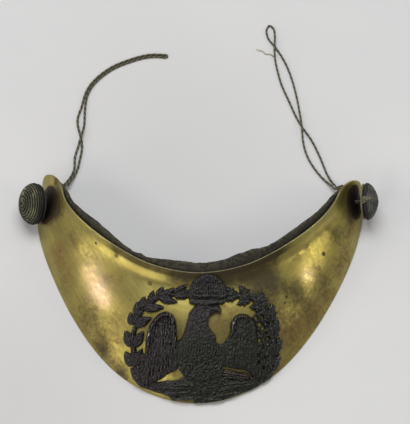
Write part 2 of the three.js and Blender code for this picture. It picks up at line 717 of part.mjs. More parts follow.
function turned(profile, sides, centre, axis) {
  const g = new THREE.LatheGeometry(profile, sides);
  const turn = new THREE.Quaternion().setFromUnitVectors(new THREE.Vector3(0, 1, 0), axis);
  g.applyQuaternion(turn);
  g.translate(centre.x, centre.y, centre.z);
  return g;
}

const group = new THREE.Group();
const add = (name, geometry, colour, roughness, metalness) => {
  const material = new THREE.MeshStandardMaterial({ color: colour, roughness, metalness });
  const mesh = new THREE.Mesh(geometry, material);
  mesh.name = name;
  group.add(mesh);
};

const plateRange = (t) => {
  const c = tipShare(t, TIP_START, TIP_END);
  return [0.5 - 0.5 * c, 0.5 + 0.5 * c];
};
const liningRange = (t) => {
  const c = tipShare(t, LINING_TIP_START, LINING_TIP_END);
  const low = LINING_INSET / chordLength(t);
  const high = 1 + bandWide(t) / chordLength(t);
  return [0.5 - (0.5 - low) * c, 0.5 + (high - 0.5) * c];
};

const plateStations = stations(TIP_START, TIP_END, PLATE_GRID.along, PLATE_GRID.tip);
const plateSheet = sheet(plateStations, PLATE_GRID.across, plateRange, 0, SHEET, true);
const liningTop = SHEET + LINING_GAP;
const liningStations = stations(LINING_TIP_START, LINING_TIP_END, LINING_GRID.along, LINING_GRID.tip);
const liningSheet = sheet(liningStations, LINING_GRID.across, liningRange, liningTop, liningTop + LINING_THICK, false);

let plate = solidOf(plateSheet);
let lining = solidOf(liningSheet);
for (const row of BUTTONS) {
  const axis = buttonAxis(row);
  const centre = new THREE.Vector3(row.x, row.y, row.z);
  const cutter = bar(centre, centre.clone().addScaledVector(axis, -14), TIE_HOLE, 16);
  plate = plate.subtract(solidOf(cutter));
  lining = lining.subtract(solidOf(cutter));
}
for (const row of PIN_HOLES) {
  const at = surface(row.t, row.v);
  const n = surfaceNormal(row.t, row.v);
  const cutter = bar(at.clone().addScaledVector(n, 1), at.clone().addScaledVector(n, -SHEET - 0.2), PIN_HOLE, 8);
  plate = plate.subtract(solidOf(cutter));
}
add('plate', geometryOf(plate), 0x9a8a45, 0.35, 1.0);
add('lining', geometryOf(lining), 0x33312a, 0.8, 0.0);
add('emblem', bendToPlate(refine(geometryOf(emblemSolid()), EMBLEM_STEP)), 0x3b3640, 0.5, 0.8);

for (const row of BUTTONS) {
  const axis = buttonAxis(row);
  const centre = new THREE.Vector3(row.x, row.y, row.z);
  add(`button_${row.name}`, turned(buttonProfile(row), BUTTON_SIDES, centre, axis), 0x4a4940, 0.6, 0.6);
  const back = [
    new THREE.Vector2(0, 0), new THREE.Vector2(row.radius - 0.9, 0), new THREE.Vector2(row.radius - 0.5, 0.4),
    new THREE.Vector2(row.radius - 0.5, BUTTON_BACK), new THREE.Vector2(0, BUTTON_BACK),
  ];
  add(`button_back_${row.name}`, turned(back, BACK_SIDES, centre, axis), 0x8c8872, 0.5, 0.7);
}

// Ties run from the middle of a button's back, through the horn, to the knot behind it.
for (const row of BUTTONS) {
  const axis = buttonAxis(row);
  const centre = new THREE.Vector3(row.x, row.y, row.z);
  const inside = TIE_INSIDE[row.name].map((p) => new THREE.Vector3(...p));
  const points = [
    centre.clone().addScaledVector(axis, -0.3), centre.clone().addScaledVector(axis, -4),
    centre.clone().addScaledVector(axis, -7), ...inside,
  ];
  add(`tie_${row.name}`, tube(points, TIE_RADIUS, 8, 9), 0x4c473a, 0.9, 0.0);
  const knot = new THREE.SphereGeometry(1, 10, 7);
  knot.scale(...KNOT_SIZE);
  knot.rotateZ(KNOTS[row.name].turn * degrees);
  knot.translate(...KNOTS[row.name].at);
  add(`knot_${row.name}`, knot, 0x45413a, 0.9, 0.0);
}

// A doubled cord: out along one strand, round the end and back along the other.
function doubledCord(rows, size) {
  const n = rows.length;
  const curves = ['x', 'y', 'half', 'lift', 'z'].map((key) => spline(rows.map((row) => row[key]), 0));
  const out = [];
  const back = [];
  const count = (n - 1) * CORD_STEPS;
  for (let i = 0; i <= count; i += 1) {
    const t = i / CORD_STEPS;
    const [x, y, half, lift, z] = curves.map((curve) => curve(t));
    const dx = curves[0](t + 0.01) - curves[0](t - 0.01);
    const dy = curves[1](t + 0.01) - curves[1](t - 0.01);
    const wide = Math.hypot(dx, dy);
    const nx = (-dy / wide) * half;
    const ny = (dx / wide) * half;
    out.push(new THREE.Vector3(x + nx, y + ny, size.up + Math.max(0, z) + Math.max(0, lift)));
    back.push(new THREE.Vector3(x - nx, y - ny, size.up + Math.max(0, z) + Math.max(0, -lift)));
  }
  const end = rows[n - 1];
  const last = rows[n - 2];
  const far = Math.hypot(end.x - last.x, end.y - last.y);
  const reach = size.cap * Math.abs(end.half);
  const cap = new THREE.Vector3(
    end.x + ((end.x - last.x) / far) * reach,
    end.y + ((end.y - last.y) / far) * reach,
    size.up,
  );
  const points = [...out, cap, ...back.reverse()];
  return { points, geometry: tube(points, size.radius, 8, size.steps) };
}

add('cord_left', doubledCord(CORD_LEFT_ROWS, CORD_LEFT).geometry, 0x3f3b32, 0.8, 0.3);
add('cord_right', doubledCord(CORD_RIGHT_ROWS, CORD_RIGHT).geometry, 0x55503f, 0.8, 0.3);

// The origin is the middle of the base of everything but the cords and their knots.
const base = new THREE.Box3();
for (const mesh of group.children) {
  if (!/^(cord|knot)/.test(mesh.name)) {
    base.expandByObject(mesh);
  }
}
const toOrigin = base.getCenter(new THREE.Vector3()).negate().setZ(0);
for (const mesh of group.children) {
  mesh.geometry.translate(toOrigin.x, toOrigin.y, 0);
}

export default group;
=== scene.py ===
import math

import bpy
import numpy as np
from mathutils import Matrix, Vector


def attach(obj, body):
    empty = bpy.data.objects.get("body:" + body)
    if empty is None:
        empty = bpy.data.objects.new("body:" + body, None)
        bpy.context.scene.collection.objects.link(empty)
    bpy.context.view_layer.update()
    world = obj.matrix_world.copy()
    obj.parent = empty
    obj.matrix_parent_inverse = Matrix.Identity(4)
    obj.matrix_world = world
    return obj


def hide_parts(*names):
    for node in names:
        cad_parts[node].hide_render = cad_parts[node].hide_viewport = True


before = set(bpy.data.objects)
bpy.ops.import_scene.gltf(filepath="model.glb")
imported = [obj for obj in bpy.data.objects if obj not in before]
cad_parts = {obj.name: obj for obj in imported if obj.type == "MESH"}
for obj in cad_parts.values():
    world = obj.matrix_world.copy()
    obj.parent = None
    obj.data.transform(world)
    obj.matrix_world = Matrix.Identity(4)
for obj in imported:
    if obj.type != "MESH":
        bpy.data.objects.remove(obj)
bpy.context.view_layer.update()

# Shapes are worked out in millimetres, as in the part's source. The shift puts the origin on the
# table under the middle of the gorget.
MM = 0.001
SHIFT = np.array([0.26343, -49.78673, 0.0])

# Camera: where the photograph was taken from, in the source's frame
CAMERA_AT = (10.23, -263.03, 662.21)
CAMERA_TO = (2.557, 88.99, 0.0)
CAMERA_LENS = 147.06
CAMERA_SENSOR = 36.0
CAMERA_REACH = (0.01, 10.0)

# Sheet sizes
SHEET = 1.0
LINING_GAP = 0.45
LINING_THICK = 1.4
LINING_INSET = 4.0
BULGE = 0.09
LIP_START = 4.8
LIP_FILLET = 2.0
HORN_SKEW = 1.3
TIP_START = 6.0
TIP_END = 6.7
LINING_TIP_START = 5.7
LINING_TIP_END = 6.56
TIP_CLOSE = 89.2
EDGE_SOFT = 0.02
SKEW_FROM = 5.0
SKEW_TO = 7.2
# How far a sheet's face stays over the table where it would sink in
TABLE_CLEAR = 0.02
# About how many millimetres of the crescent's length a step of t takes
T_LONG = 17

# Sections across the crescent, from the middle of the chest to the tip of a horn. Lip is a slope,
# and the bands are how far the lining stands past the neck edge at each side.
SECTION_KEYS = ("outer_x", "outer_y", "neck_x", "neck_y", "neck_z", "lip", "band_left", "band_right")
SECTIONS = (
    (0.0, 0.0, 0.0, 48.2, 20.3, 0.78, 2.8, 2.8),
    (18.3, 3.9, 10.2, 49.4, 20.4, 0.78, 2.9, 3.1),
    (35.3, 15.3, 20.6, 52.7, 20.5, 0.78, 1.2, 3.6),
    (49.9, 34.0, 31.3, 59.0, 20.4, 0.78, 1.0, 2.1),
    (61.0, 55.0, 42.7, 68.1, 20.0, 0.76, 2.4, 2.4),
    (68.1, 74.0, 52.1, 78.1, 19.4, 0.65, 1.4, 1.9),
    (70.4, 90.0, 57.5, 88.0, 18.7, 0.45, 0.6, 0.8),
    (69.2, 104.5, 59.9, 99.5, 18.0, 0.4, -1.5, -1.5),
)

# Cords: rows follow the middle of the two strands, half is half of the distance between them, and
# lift raises one strand over the other where they cross.
CORD_KEYS = ("x", "y", "half", "lift", "z")
CORD_STEPS = 2
CORD_FINE = 0.3
CORD_PITCH = 2.6
# How much a ply swells at its crest, and the share of the strands' gap that is left at the knot
PLY_SWELL = 1.35
KNOT_GAP = 0.4
CORD_LEFT = {"radius": 0.5, "up": 0.55, "cap": 1.0}
CORD_RIGHT = {"radius": 0.43, "up": 0.48, "cap": 1.3}
CORD_LEFT_ROWS = (
    (-58.0, 99.8, 0.57, 0, 2.2), (-55.8, 104.5, 0.57, 0, 0.6), (-54.4, 109.4, 0.75, 0, 0.0),
    (-54.1, 114.3, 1.17, 0, 0.0), (-53.3, 119.6, 0.9, 0.25, 0.0), (-53.1, 124.8, -0.1, 1.15, 0.0),
    (-53.4, 130.0, -1.25, 0.2, 0.0), (-53.6, 135.0, -1.5, 0, 0.0), (-53.0, 140.2, -0.85, 0, 0.0),
    (-52.2, 146.2, -0.58, 0, 0.0), (-50.0, 152.0, -0.57, 0, 0.0), (-46.0, 157.2, -0.57, 0, 0.0),
    (-40.6, 161.8, -0.57, 0, 0.0), (-34.2, 165.2, -0.57, 0, 0.0), (-27.4, 167.8, -0.57, 0, 0.0),
    (-21.8, 168.7, -0.57, 0, 0.0), (-16.9, 168.4, -0.57, 0, 0.0),
)
CORD_RIGHT_ROWS = (
    (59.6, 100.2, 0.5, 0, 2.2), (57.1, 103.8, 0.8, 0, 0.6), (54.2, 108.1, 1.48, 0, 0.0),
    (51.4, 113.6, 2.3, 0, 0.0), (48.9, 119.6, 2.5, 0, 0.0), (46.7, 126.2, 1.7, 0.2, 0.0),
    (44.5, 132.9, 0.0, 1.0, 0.0), (42.5, 139.8, -1.2, 0.1, 0.0), (40.5, 147.2, -2.0, 0, 0.0),
    (38.3, 154.5, -2.6, 0, 0.0), (36.4, 161.4, -2.5, 0, 0.0), (34.3, 168.4, -1.7, -0.1, 0.0),
    (32.4, 174.9, 0.0, -1.0, 0.0), (31.0, 179.6, 1.6, -0.15, 0.0), (30.4, 184.0, 1.7, 0, 0.0),
)
# Knots behind the horns: place (x, y, z) and turn in degrees. Then half sizes of a knot's line, the
# radius of its cord, the pitch of the twist and how deep the plies are.
KNOTS = {"left": (-60.2, 97.9, 3.4, 60), "right": (61.5, 100.3, 3.3, 130)}
KNOT_HALF = (1.25, 0.9, 0.55)
KNOT_POINTS = 90
KNOT_RADIUS = 0.58
KNOT_PITCH = 0.9
KNOT_PLIES_DEEP = 0.2


# Small helpers
def to_row(points):
    """Millimetres in the source's frame to metres in the row's frame."""
    return (np.asarray(points, float) + SHIFT) * MM


def mesh_object(name, points, faces, smooth=True):
    mesh = bpy.data.meshes.new(name)
    mesh.from_pydata(to_row(points).tolist(), [], faces)
    mesh.update()
    if smooth:
        mesh.shade_smooth()
    obj = bpy.data.objects.new(name, mesh)
    bpy.context.scene.collection.objects.link(obj)
    return obj


def store(obj, name, values):
    """Keeps a number, or three, for each point of a mesh, for its material to read."""
    values = np.asarray(values, np.float32)
    kind = "FLOAT" if values.ndim == 1 else "FLOAT_VECTOR"
    layer = obj.data.attributes.new(name, kind, "POINT")
    layer.data.foreach_set("value" if values.ndim == 1 else "vector", values.ravel())


def spline(values, first):
    """Natural cubic spline through values at whole numbers from first."""
    values = np.asarray(values, float)
    n = len(values)
    bend = np.zeros(n)
    c = np.zeros(n)
    d = np.zeros(n)
    for i in range(1, n - 1):
        rhs = 6 * (values[i + 1] - 2 * values[i] + values[i - 1])
        m = 4 - c[i - 1]
        c[i] = 1 / m
        d[i] = (rhs - d[i - 1]) / m
    for i in range(n - 2, 0, -1):
        bend[i] = d[i] - c[i] * bend[i + 1]

    def at(t):
        t = np.asarray(t, float)
        i = np.clip(np.floor(t - first).astype(int), 0, n - 2)
        q = t - first - i
        p = 1 - q
        curve = ((p**3 - p) * bend[i] + (q**3 - q) * bend[i + 1]) / 6
        return p * values[i] + q * values[i + 1] + curve

    return at


def column(key, sign=1, left_key=None):
    """A column of the sections as a curve along the crescent; the left half mirrors the right."""
    k = SECTION_KEYS.index(key)
    j = SECTION_KEYS.index(left_key or key)
    values = [sign * row[j] for row in SECTIONS[:0:-1]] + [row[k] for row in SECTIONS]
    return spline(values, 1 - len(SECTIONS))


outer_x = column("outer_x", -1)
outer_y = column("outer_y")
neck_x = column("neck_x", -1)
neck_y = column("neck_y")
neck_z = column("neck_z")
lip_slope = column("lip")
band_wide = column("band_right", 1, "band_left")


def smooth(a, b, t):
    """Rises softly from 0 at a to 1 at b."""
    s = np.clip((t - a) / (b - a), 0, 1)
    return s * s * (3 - 2 * s)


def chord_length(t):
    """Straight distance from the outer edge to the neck edge."""
    return np.sqrt((neck_x(t) - outer_x(t)) ** 2 + (neck_y(t) - outer_y(t)) ** 2 + neck_z(t) ** 2)


def surface(t, v):
    """The outer surface: t runs along the crescent, v from the outer edge (0) to the neck (1)."""
    t, v = np.broadcast_arrays(np.asarray(t, float), np.asarray(v, float))
    dx = neck_x(t) - outer_x(t)
    dy = neck_y(t) - outer_y(t)
    dz = neck_z(t)
    flat = np.hypot(dx, dy)
    length = np.hypot(flat, dz)
    rise = 4 * BULGE * length * v * (1 - v)
    tilt = np.arctan2(dz, flat)
    end = tilt - math.atan(4 * BULGE)
    tau = np.maximum(0, (np.abs(t) - TIP_START) / (TIP_END - TIP_START))
    g = 2 * v - 1
    h = 0.5 * (g + np.sqrt(g * g + EDGE_SOFT))
    s = np.hypot(h, tau) + (g - h) * (1 - tau)
    short = LIP_START - 0.5 * length * (1 - s)
    lift = lip_slope(t) * 0.5 * (short + np.sqrt(short * short + LIP_FILLET * LIP_FILLET))
    inward = -np.sin(tilt) * rise - np.sin(end) * lift
    up = np.cos(tilt) * rise + np.cos(end) * lift
    skew = HORN_SKEW * smooth(SKEW_FROM, SKEW_TO, np.abs(t))
    x = outer_x(t) + dx * v + dx / flat * inward + skew
    y = outer_y(t) + dy * v + dy / flat * inward
    return np.stack([x, y, dz * v + up], -1)


def surface_normal(t, v):
    """The direction straight out of the surface."""
    e = 1e-3
    t, v = np.broadcast_arrays(np.asarray(t, float), np.asarray(v, float))
    a = surface(t + e, v) - surface(t - e, v)
    b = surface(t, v + e) - surface(t, v - e)
    n = np.cross(a, b)
    return n / np.linalg.norm(n, axis=-1, keepdims=True)


def below(t, v, depth):
    """Places at a depth under the outer surface."""
    return surface(t, v) - np.asarray(depth)[..., None] * surface_normal(t, v)


def stations(tip_start, tip_end, middle, tip):
    """Stations along the crescent, closer together round the tips."""
    angles = np.radians(TIP_CLOSE) * np.arange(tip, 0, -1) / tip
    ends = tip_start + (tip_end - tip_start) * np.sin(angles)
    return np.concatenate([-ends, np.linspace(-tip_start, tip_start, middle + 1), ends[::-1]])


def tip_share(t, tip_start, tip_end):
    """1 along the crescent, and falling to 0 round the tips like a half circle."""
    tau = np.clip((np.abs(t) - tip_start) / (tip_end - tip_start), 0, 1)
    return np.sqrt(np.maximum(0, 1 - tau * tau))


def meets_table(t, low, depth):
    """The v at which the sheet's face at this depth meets the table."""
    a = np.array(low, float)
    b = np.full_like(a, 0.5)
    clear = below(t, a, np.full_like(a, depth))[..., 2] >= 0
    for _ in range(40):
        mid = 0.5 * (a + b)
        under = below(t, mid, np.full_like(a, depth))[..., 2] < 0
        a = np.where(under, mid, a)
        b = np.where(under, b, mid)
    return np.where(clear, low, b)


def value_noise(x, y, seed):
    """Smooth noise between -1 and 1 with a feature size of 1, the same in every run."""
    table = np.random.default_rng(seed).uniform(-1, 1, (64, 64))
    i = np.floor(x).astype(int)
    j = np.floor(y).astype(int)
    p = x - i
    q = y - j
    p = p * p * (3 - 2 * p)
    q = q * q * (3 - 2 * q)
    a = table[i % 64, j % 64]
    b = table[(i + 1) % 64, j % 64]
    c = table[i % 64, (j + 1) % 64]
    d = table[(i + 1) % 64, (j + 1) % 64]
    return (a * (1 - p) + b * p) * (1 - q) + (c * (1 - p) + d * p) * q


def ring_faces(count, around, closed=False):
    """Quads between rings of points. The last ring meets the first, or both get a lid."""
    faces = []
    for i in range(count if closed else count - 1):
        a, b = i * around, (i + 1) % count * around
        for j in range(around):
            k = (j + 1) % around
            faces.append((a + j, b + j, b + k, a + k))
    if not closed:
        faces.append(tuple(range(around)))
        faces.append(tuple((count - 1) * around + j for j in range(around - 1, -1, -1)))
    return faces


# Camera
camera_data = bpy.data.cameras.new("camera")
camera_data.sensor_fit = "VERTICAL"
camera_data.sensor_height = CAMERA_SENSOR
camera_data.lens = CAMERA_LENS
camera_data.clip_start, camera_data.clip_end = CAMERA_REACH
camera = bpy.data.objects.new("camera", camera_data)
camera.location = to_row(CAMERA_AT)
camera.rotation_euler = ((Vector(CAMERA_TO) - Vector(CAMERA_AT)).to_track_quat("-Z", "Y")).to_euler()
bpy.context.scene.collection.objects.link(camera)
bpy.context.scene.camera = camera


# Cords
def cord_points(rows, size, knot):
    """The doubled cord's route from its knot: out along one strand, round the end and back to the knot."""
    table = np.array(rows, float)
    curves = [spline(table[:, k], 0) for k in range(len(CORD_KEYS))]
    n = len(rows)
    t = np.arange((n - 1) * CORD_STEPS + 1) / CORD_STEPS
    x, y, half, lift, z = (curve(t) for curve in curves)
    e = 0.01
    dx = curves[0](t + e) - curves[0](t - e)
    dy = curves[1](t + e) - curves[1](t - e)
    wide = np.hypot(dx, dy)
    nx = -dy / wide * half
    ny = dx / wide * half
    up = size["up"] + np.maximum(0, z)
    out = np.stack([x + nx, y + ny, up + np.maximum(0, lift)], -1)
    back = np.stack([x - nx, y - ny, up + np.maximum(0, -lift)], -1)
    heading = table[-1, :2] - table[-2, :2]
    heading /= np.linalg.norm(heading)
    cap = table[-1, :2] + heading * size["cap"] * abs(table[-1, 2])
    apart = KNOT_GAP * (out[0] - back[0])
    return np.vstack([knot + apart, out, [cap[0], cap[1], size["up"]], back[::-1], knot - apart])


def centripetal(points, step):
    """Points about step apart on the centripetal Catmull-Rom curve through the given ones."""
    p = np.vstack([2 * points[0] - points[1], points, 2 * points[-1] - points[-2]])
    line = []
    for i in range(1, len(p) - 2):
        knots = [0.0]
        for a, b in ((i - 1, i), (i, i + 1), (i + 1, i + 2)):
            knots.append(knots[-1] + max(np.linalg.norm(p[b] - p[a]) ** 0.5, 1e-4))
        k0, k1, k2, k3 = knots
        count = max(2, int(np.linalg.norm(p[i + 1] - p[i]) / step))
        for k in np.linspace(k1, k2, count, endpoint=False):
            a1 = (k1 - k) / (k1 - k0) * p[i - 1] + (k - k0) / (k1 - k0) * p[i]
            a2 = (k2 - k) / (k2 - k1) * p[i] + (k - k1) / (k2 - k1) * p[i + 1]
            a3 = (k3 - k) / (k3 - k2) * p[i + 1] + (k - k2) / (k3 - k2) * p[i + 2]
            b1 = (k2 - k) / (k2 - k0) * a1 + (k - k0) / (k2 - k0) * a2
            b2 = (k3 - k) / (k3 - k1) * a2 + (k - k1) / (k3 - k1) * a3
            line.append((k2 - k) / (k2 - k1) * b1 + (k - k1) / (k2 - k1) * b2)
    line.append(p[-2])
    return np.array(line)


def lobes_round(line, tangent, level, radius, pitch, around, depth, plies):
    """Points of a twisted cord round its line, over the table, and how high each lies on its ply."""
    tangent = tangent / np.linalg.norm(tangent, axis=1, keepdims=True)
    side = np.cross(tangent, level)
    side /= np.linalg.norm(side, axis=1, keepdims=True)
    over = np.cross(side, tangent)
    along = np.concatenate([[0], np.cumsum(np.linalg.norm(np.diff(line, axis=0), axis=1))])
    theta = 2 * np.pi * np.arange(around) / around
    phase = plies * theta[None, :] - 2 * np.pi * along[:, None] / pitch
    rise = np.abs(np.cos(0.5 * phase))
    r = radius * (1 - depth + depth * rise * PLY_SWELL)
    points = line[:, None, :] + r[..., None] * (
        np.cos(theta)[None, :, None] * side[:, None, :] + np.sin(theta)[None, :, None] * over[:, None, :]
    )
    points[..., 2] = np.maximum(points[..., 2], TABLE_CLEAR)
    return points.reshape(-1, 3), rise


def twisted_tube(name, line, radius, pitch, around=12, depth=0.16, plies=2, closed=False):
    """A cord of twisted plies along a line; the plies show as lobes that turn with the distance."""
    tangent = np.roll(line, -1, axis=0) - np.roll(line, 1, axis=0) if closed else np.gradient(line, axis=0)
    points, rise = lobes_round(line, tangent, [0, 0, 1.0], radius, pitch, around, depth, plies)
    made = mesh_object(name, points, ring_faces(len(line), around, closed))
    store(made, "twist", rise.ravel())
    return made


def knot_line(place, turn):
    """The line of a small overhand knot."""
    u = np.linspace(0, 2 * np.pi, KNOT_POINTS, endpoint=False)
    x = (np.sin(u) + 2 * np.sin(2 * u)) / 3 * KNOT_HALF[0]
    y = (np.cos(u) - 2 * np.cos(2 * u)) / 3 * KNOT_HALF[1]
    z = -np.sin(3 * u) * KNOT_HALF[2]
    c, s = math.cos(math.radians(turn)), math.sin(math.radians(turn))
    return np.stack([x * c - y * s, x * s + y * c, z], -1) + np.array(place)


for side, rows, size in (("left", CORD_LEFT_ROWS, CORD_LEFT), ("right", CORD_RIGHT_ROWS, CORD_RIGHT)):
    *knot_at, knot_turn = KNOTS[side]
    line = centripetal(cord_points(rows, size, knot_at), CORD_FINE)
    cord = twisted_tube(f"neck_cord_{side}", line, size["radius"], CORD_PITCH)
    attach(cord, "root")
    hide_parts(f"cord_{side}")
    knot = twisted_tube(
        f"cord_knot_{side}", knot_line(knot_at, knot_turn), KNOT_RADIUS, KNOT_PITCH,
        depth=KNOT_PLIES_DEEP, closed=True,
    )
    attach(knot, "root")
    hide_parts(f"knot_{side}")


# Plate and lining

# Dents and bumps of the brass: place (t, v), size in mm, height in mm
DENTS = (
    (-3.02, 0.92, 1.5, -0.32), (-2.03, 0.21, 3.2, 0.22), (4.88, 0.84, 2.0, -0.2), (4.6, 0.85, 2.0, -0.22),
    (4.3, 0.86, 2.0, -0.22), (4.0, 0.85, 2.0, -0.2), (3.75, 0.83, 2.2, -0.16), (2.75, 0.52, 2.6, -0.1),
    (-2.9, 0.66, 2.6, -0.08), (-4.3, 0.4, 4.5, -0.15), (5.2, 0.55, 4.0, -0.12), (-3.5, 0.42, 6.0, 0.12),
)
# Soft marks of the brass, stain and painted light: place (t, v), size in mm, then how brown, dark, clean and
# pink
# Brown is stain, dark is tarnish and painted shade, clean is wiped brass and painted highlight, pink is
# painted highlight tint.
STAINS_AND_PAINTED_LIGHT = (
    (-4.32, 0.35, 5.0, 0.8, 0.1, 0, 0), (-3.72, 0.23, 4.5, 0.7, 0.2, 0, 0), (-4.02, 0.3, 4.0, 0.6, 0.2, 0, 0),
    (-4.36, 0.72, 4.5, 0, 0.5, 0, 0), (-4.11, 0.66, 3.5, 0, 0.3, 0, 0), (-2.95, 0.52, 4.2, 0, 0, 0.5, 1.0),
    (-2.69, 0.48, 3.2, 0, 0, 0.4, 0.8), (-3.3, 0.58, 5.0, 0, 0, 0.3, 0.5), (-2.9, 0.68, 3.0, 0.3, 0.35, 0, 0),
    (-2.55, 0.78, 2.6, 0.3, 0.3, 0, 0), (-0.9, 0.95, 3.6, 0.3, 0.6, 0, 0),
    (-0.4, 0.97, 4.0, 0.4, 1.0, 0, 0), (0.4, 0.97, 4.2, 0.4, 1.0, 0, 0),
    (1.1, 0.95, 5.0, 0.4, 1.0, 0, 0), (1.8, 0.93, 5.5, 0.4, 1.0, 0, 0), (2.4, 0.9, 5.5, 0.4, 0.95, 0, 0),
    (2.9, 0.95, 3.0, 0.4, 0.7, 0, 0), (2.5, 0.76, 5.0, 0.3, 0.6, 0, 0), (2.0, 0.78, 4.0, 0.3, 0.7, 0, 0),
    (-2.03, 0.21, 4.0, 0.2, 0, 0.4, 0), (4.7, 0.82, 2.2, 0.2, 0.5, 0, 0), (4.3, 0.85, 2.0, 0.2, 0.5, 0, 0),
    (3.9, 0.83, 2.2, 0.2, 0.5, 0, 0), (3.5, 0.8, 2.4, 0.2, 0.5, 0, 0), (4.0, 0.7, 5.0, 0, 0, 0.8, 0),
    (3.6, 0.62, 5.5, 0, 0, 0.8, 0.1), (3.45, 0.56, 3.0, 0, 0, 0.5, 0.6), (2.75, 0.5, 4.0, 0, 0.3, 0, 0),
    (4.61, 0.28, 6.0, 0.5, 0.3, 0, 0), (5.2, 0.4, 6.0, 0.4, 0.4, 0, 0), (4.2, 0.2, 6.0, 0.5, 0.3, 0, 0),
    (3.6, 0.15, 6.0, 0.5, 0.2, 0, 0), (2.68, 0.17, 8.0, 0.5, 0.2, 0, 0), (2.5, 0.4, 5.0, 0.4, 0.2, 0, 0),
    (-5.79, 0.82, 3.4, 0.7, 1.0, 0, 0), (-5.35, 0.7, 4.4, 0.6, 1.0, 0, 0), (-5.6, 0.6, 5.0, 0.5, 1.0, 0, 0),
    (-6.35, 0.7, 2.6, 0, 0, 0.7, 0), (6.12, 0.55, 4.6, 0.8, 1.0, 0, 0), (5.75, 0.5, 5.4, 0.7, 1.0, 0, 0),
    (5.98, 0.45, 4.5, 0.8, 1.0, 0, 0), (-2.2, 0.08, 9.0, 0.2, 0.4, 0, 0), (-3.0, 0.2, 9.0, 0.1, 0.3, 0, 0),
    (-0.2, 0.5, 9.0, 0.3, 0.3, 0, 0), (1.0, 0.6, 9.0, 0.4, 0.4, 0, 0), (-1.2, 0.6, 8.0, 0.1, 0.2, 0, 0),
    (0.0, 0.1, 14.0, 0.3, 0.5, 0, 0), (1.6, 0.1, 12.0, 0.4, 0.5, 0, 0), (2.52, 0.79, 5.0, 0.1, 0.7, 0, 0),
    (2.85, 0.62, 4.2, 0.1, 0.5, 0, 0), (3.0, 0.5, 4.0, 0.0, 0.6, 0, 0), (2.2, 0.6, 6.0, 0.1, 0.6, 0, 0),
    (3.69, 0.3, 5.0, 0.2, 0.5, 0, 0), (3.0, 0.3, 6.0, 0.2, 0.4, 0, 0), (4.75, 0.62, 4.0, 0.2, 0.6, 0, 0),
    (-2.2, 0.42, 4.5, 0.0, 0.35, 0, 0), (-0.9, 0.54, 7.0, 0.1, 0.6, 0, 0), (-1.7, 0.02, 5.0, 0.3, 0.7, 0, 0),
    (-6.4, 0.88, 2.4, 0.6, 0.6, 0, 0), (-2.75, 0.2, 8.0, 0.3, 0.4, 0, 0), (-2.3, 0.1, 7.0, 0.3, 0.4, 0, 0),
    (-0.87, 0.5, 5.0, 0.2, 0.7, 0, 0), (3.7, 0.5, 4.0, 0.1, 0.35, 0, 0), (3.15, 0.6, 3.5, 0.0, 0.4, 0, 0),
    (2.3, 0.25, 7.0, 0.8, 0.3, 0, 0), (3.1, 0.12, 6.0, 0.8, 0.3, 0, 0),
)
# Tarnish with painted shadow and reflection under the buttons: centre of a ball in mm and its radius
BUTTON_SHADOWS_AND_TARNISH = ((np.array([-70.1, 85.0, 13.5]), 10.7), (np.array([71.1, 89.1, 12.0]), 8.95))
# Small sharp dark spots: place (t, v), radius in mm, amount. At the two pin holes they are painted shade for
# the holes.
SPOTS = (
    (-3.7, 0.89, 0.4, 1.0), (-3.02, 0.92, 0.75, 0.6), (-1.66, 0.86, 0.8, 0.7), (4.1, 0.58, 0.65, 0.95),
    (2.72, 0.55, 0.5, 0.9), (2.62, 0.51, 0.4, 0.7), (3.09, 0.45, 0.35, 0.5), (2.9, 0.6, 0.3, 0.5),
    (-4.3, 0.38, 0.6, 0.4), (-2.06, 0.65, 0.45, 0.35), (3.4, 0.35, 0.4, 0.4),
)
# Pin holes by their place (t, v), then the radius of a pin hole and of the hole for a button's tie
PIN_HOLES = ((-3.7, 0.89), (4.08, 0.6))
PIN_HOLE = 0.4
TIE_HOLE = 1.6
BORE_SIDES = 20
# Sizes of the meshes: stations between the horns and round a tip, then steps across
PLATE_STATIONS = (300, 26)
PLATE_ACROSS = 70
LINING_STATIONS = (260, 20)
LINING_ACROSS = 40
RIM_ROUND = 0.35
LINING_ROUND = 0.3
# Heights in mm of the unevenness of the brass, of the lining's upper edge and of its face: broad, fine
HAMMERED = (0.05, 0.018)
RAGGED = (0.1, 0.08)
WRINKLED = (0.09, 0.03)


def hammering(t, v):
    """How far the brass stands out of its smooth shape, in mm."""
    here = surface(t, v)
    x, y, z = here[..., 0], here[..., 1], here[..., 2]
    out = HAMMERED[0] * value_noise(x / 11 + 5, y / 11 + z / 14, 51)
    out = out + HAMMERED[1] * value_noise(x / 4.5, y / 4.5 + z / 6, 52)
    for t_dent, v_dent, size, high in DENTS:
        near = np.sum((here - surface(t_dent, v_dent)) ** 2, -1)
        out = out + high * np.exp(-near / size**2)
    return out * smooth(0.0, 0.03, v)


def bored(obj, bars):
    """Meant to bore round holes. A bar is two end points (mm) and a radius.

    As it stands the cut only marks the circles on both faces of the sheet, and the holes stay closed.
    """
    for a, b, radius in bars:
        axis = b - a
        level = np.cross([0, 0, 1.0], axis)
        level /= np.linalg.norm(level)
        over = np.cross(axis, level) / np.linalg.norm(axis)
        angles = 2 * np.pi * np.arange(BORE_SIDES) / BORE_SIDES
        ring = radius * (np.cos(angles)[:, None] * level + np.sin(angles)[:, None] * over)
        cutter = mesh_object("cutter", np.vstack([a + ring, b + ring]), ring_faces(2, BORE_SIDES), False)
        cut = obj.modifiers.new("hole", "BOOLEAN")
        cut.operation = "DIFFERENCE"
        cut.solver = "EXACT"
        cut.object = cutter
        bpy.context.view_layer.update()
        mesh = bpy.data.meshes.new_from_object(obj.evaluated_get(bpy.context.evaluated_depsgraph_get()))
        obj.modifiers.clear()
        obj.data = mesh
        bpy.data.objects.remove(cutter)


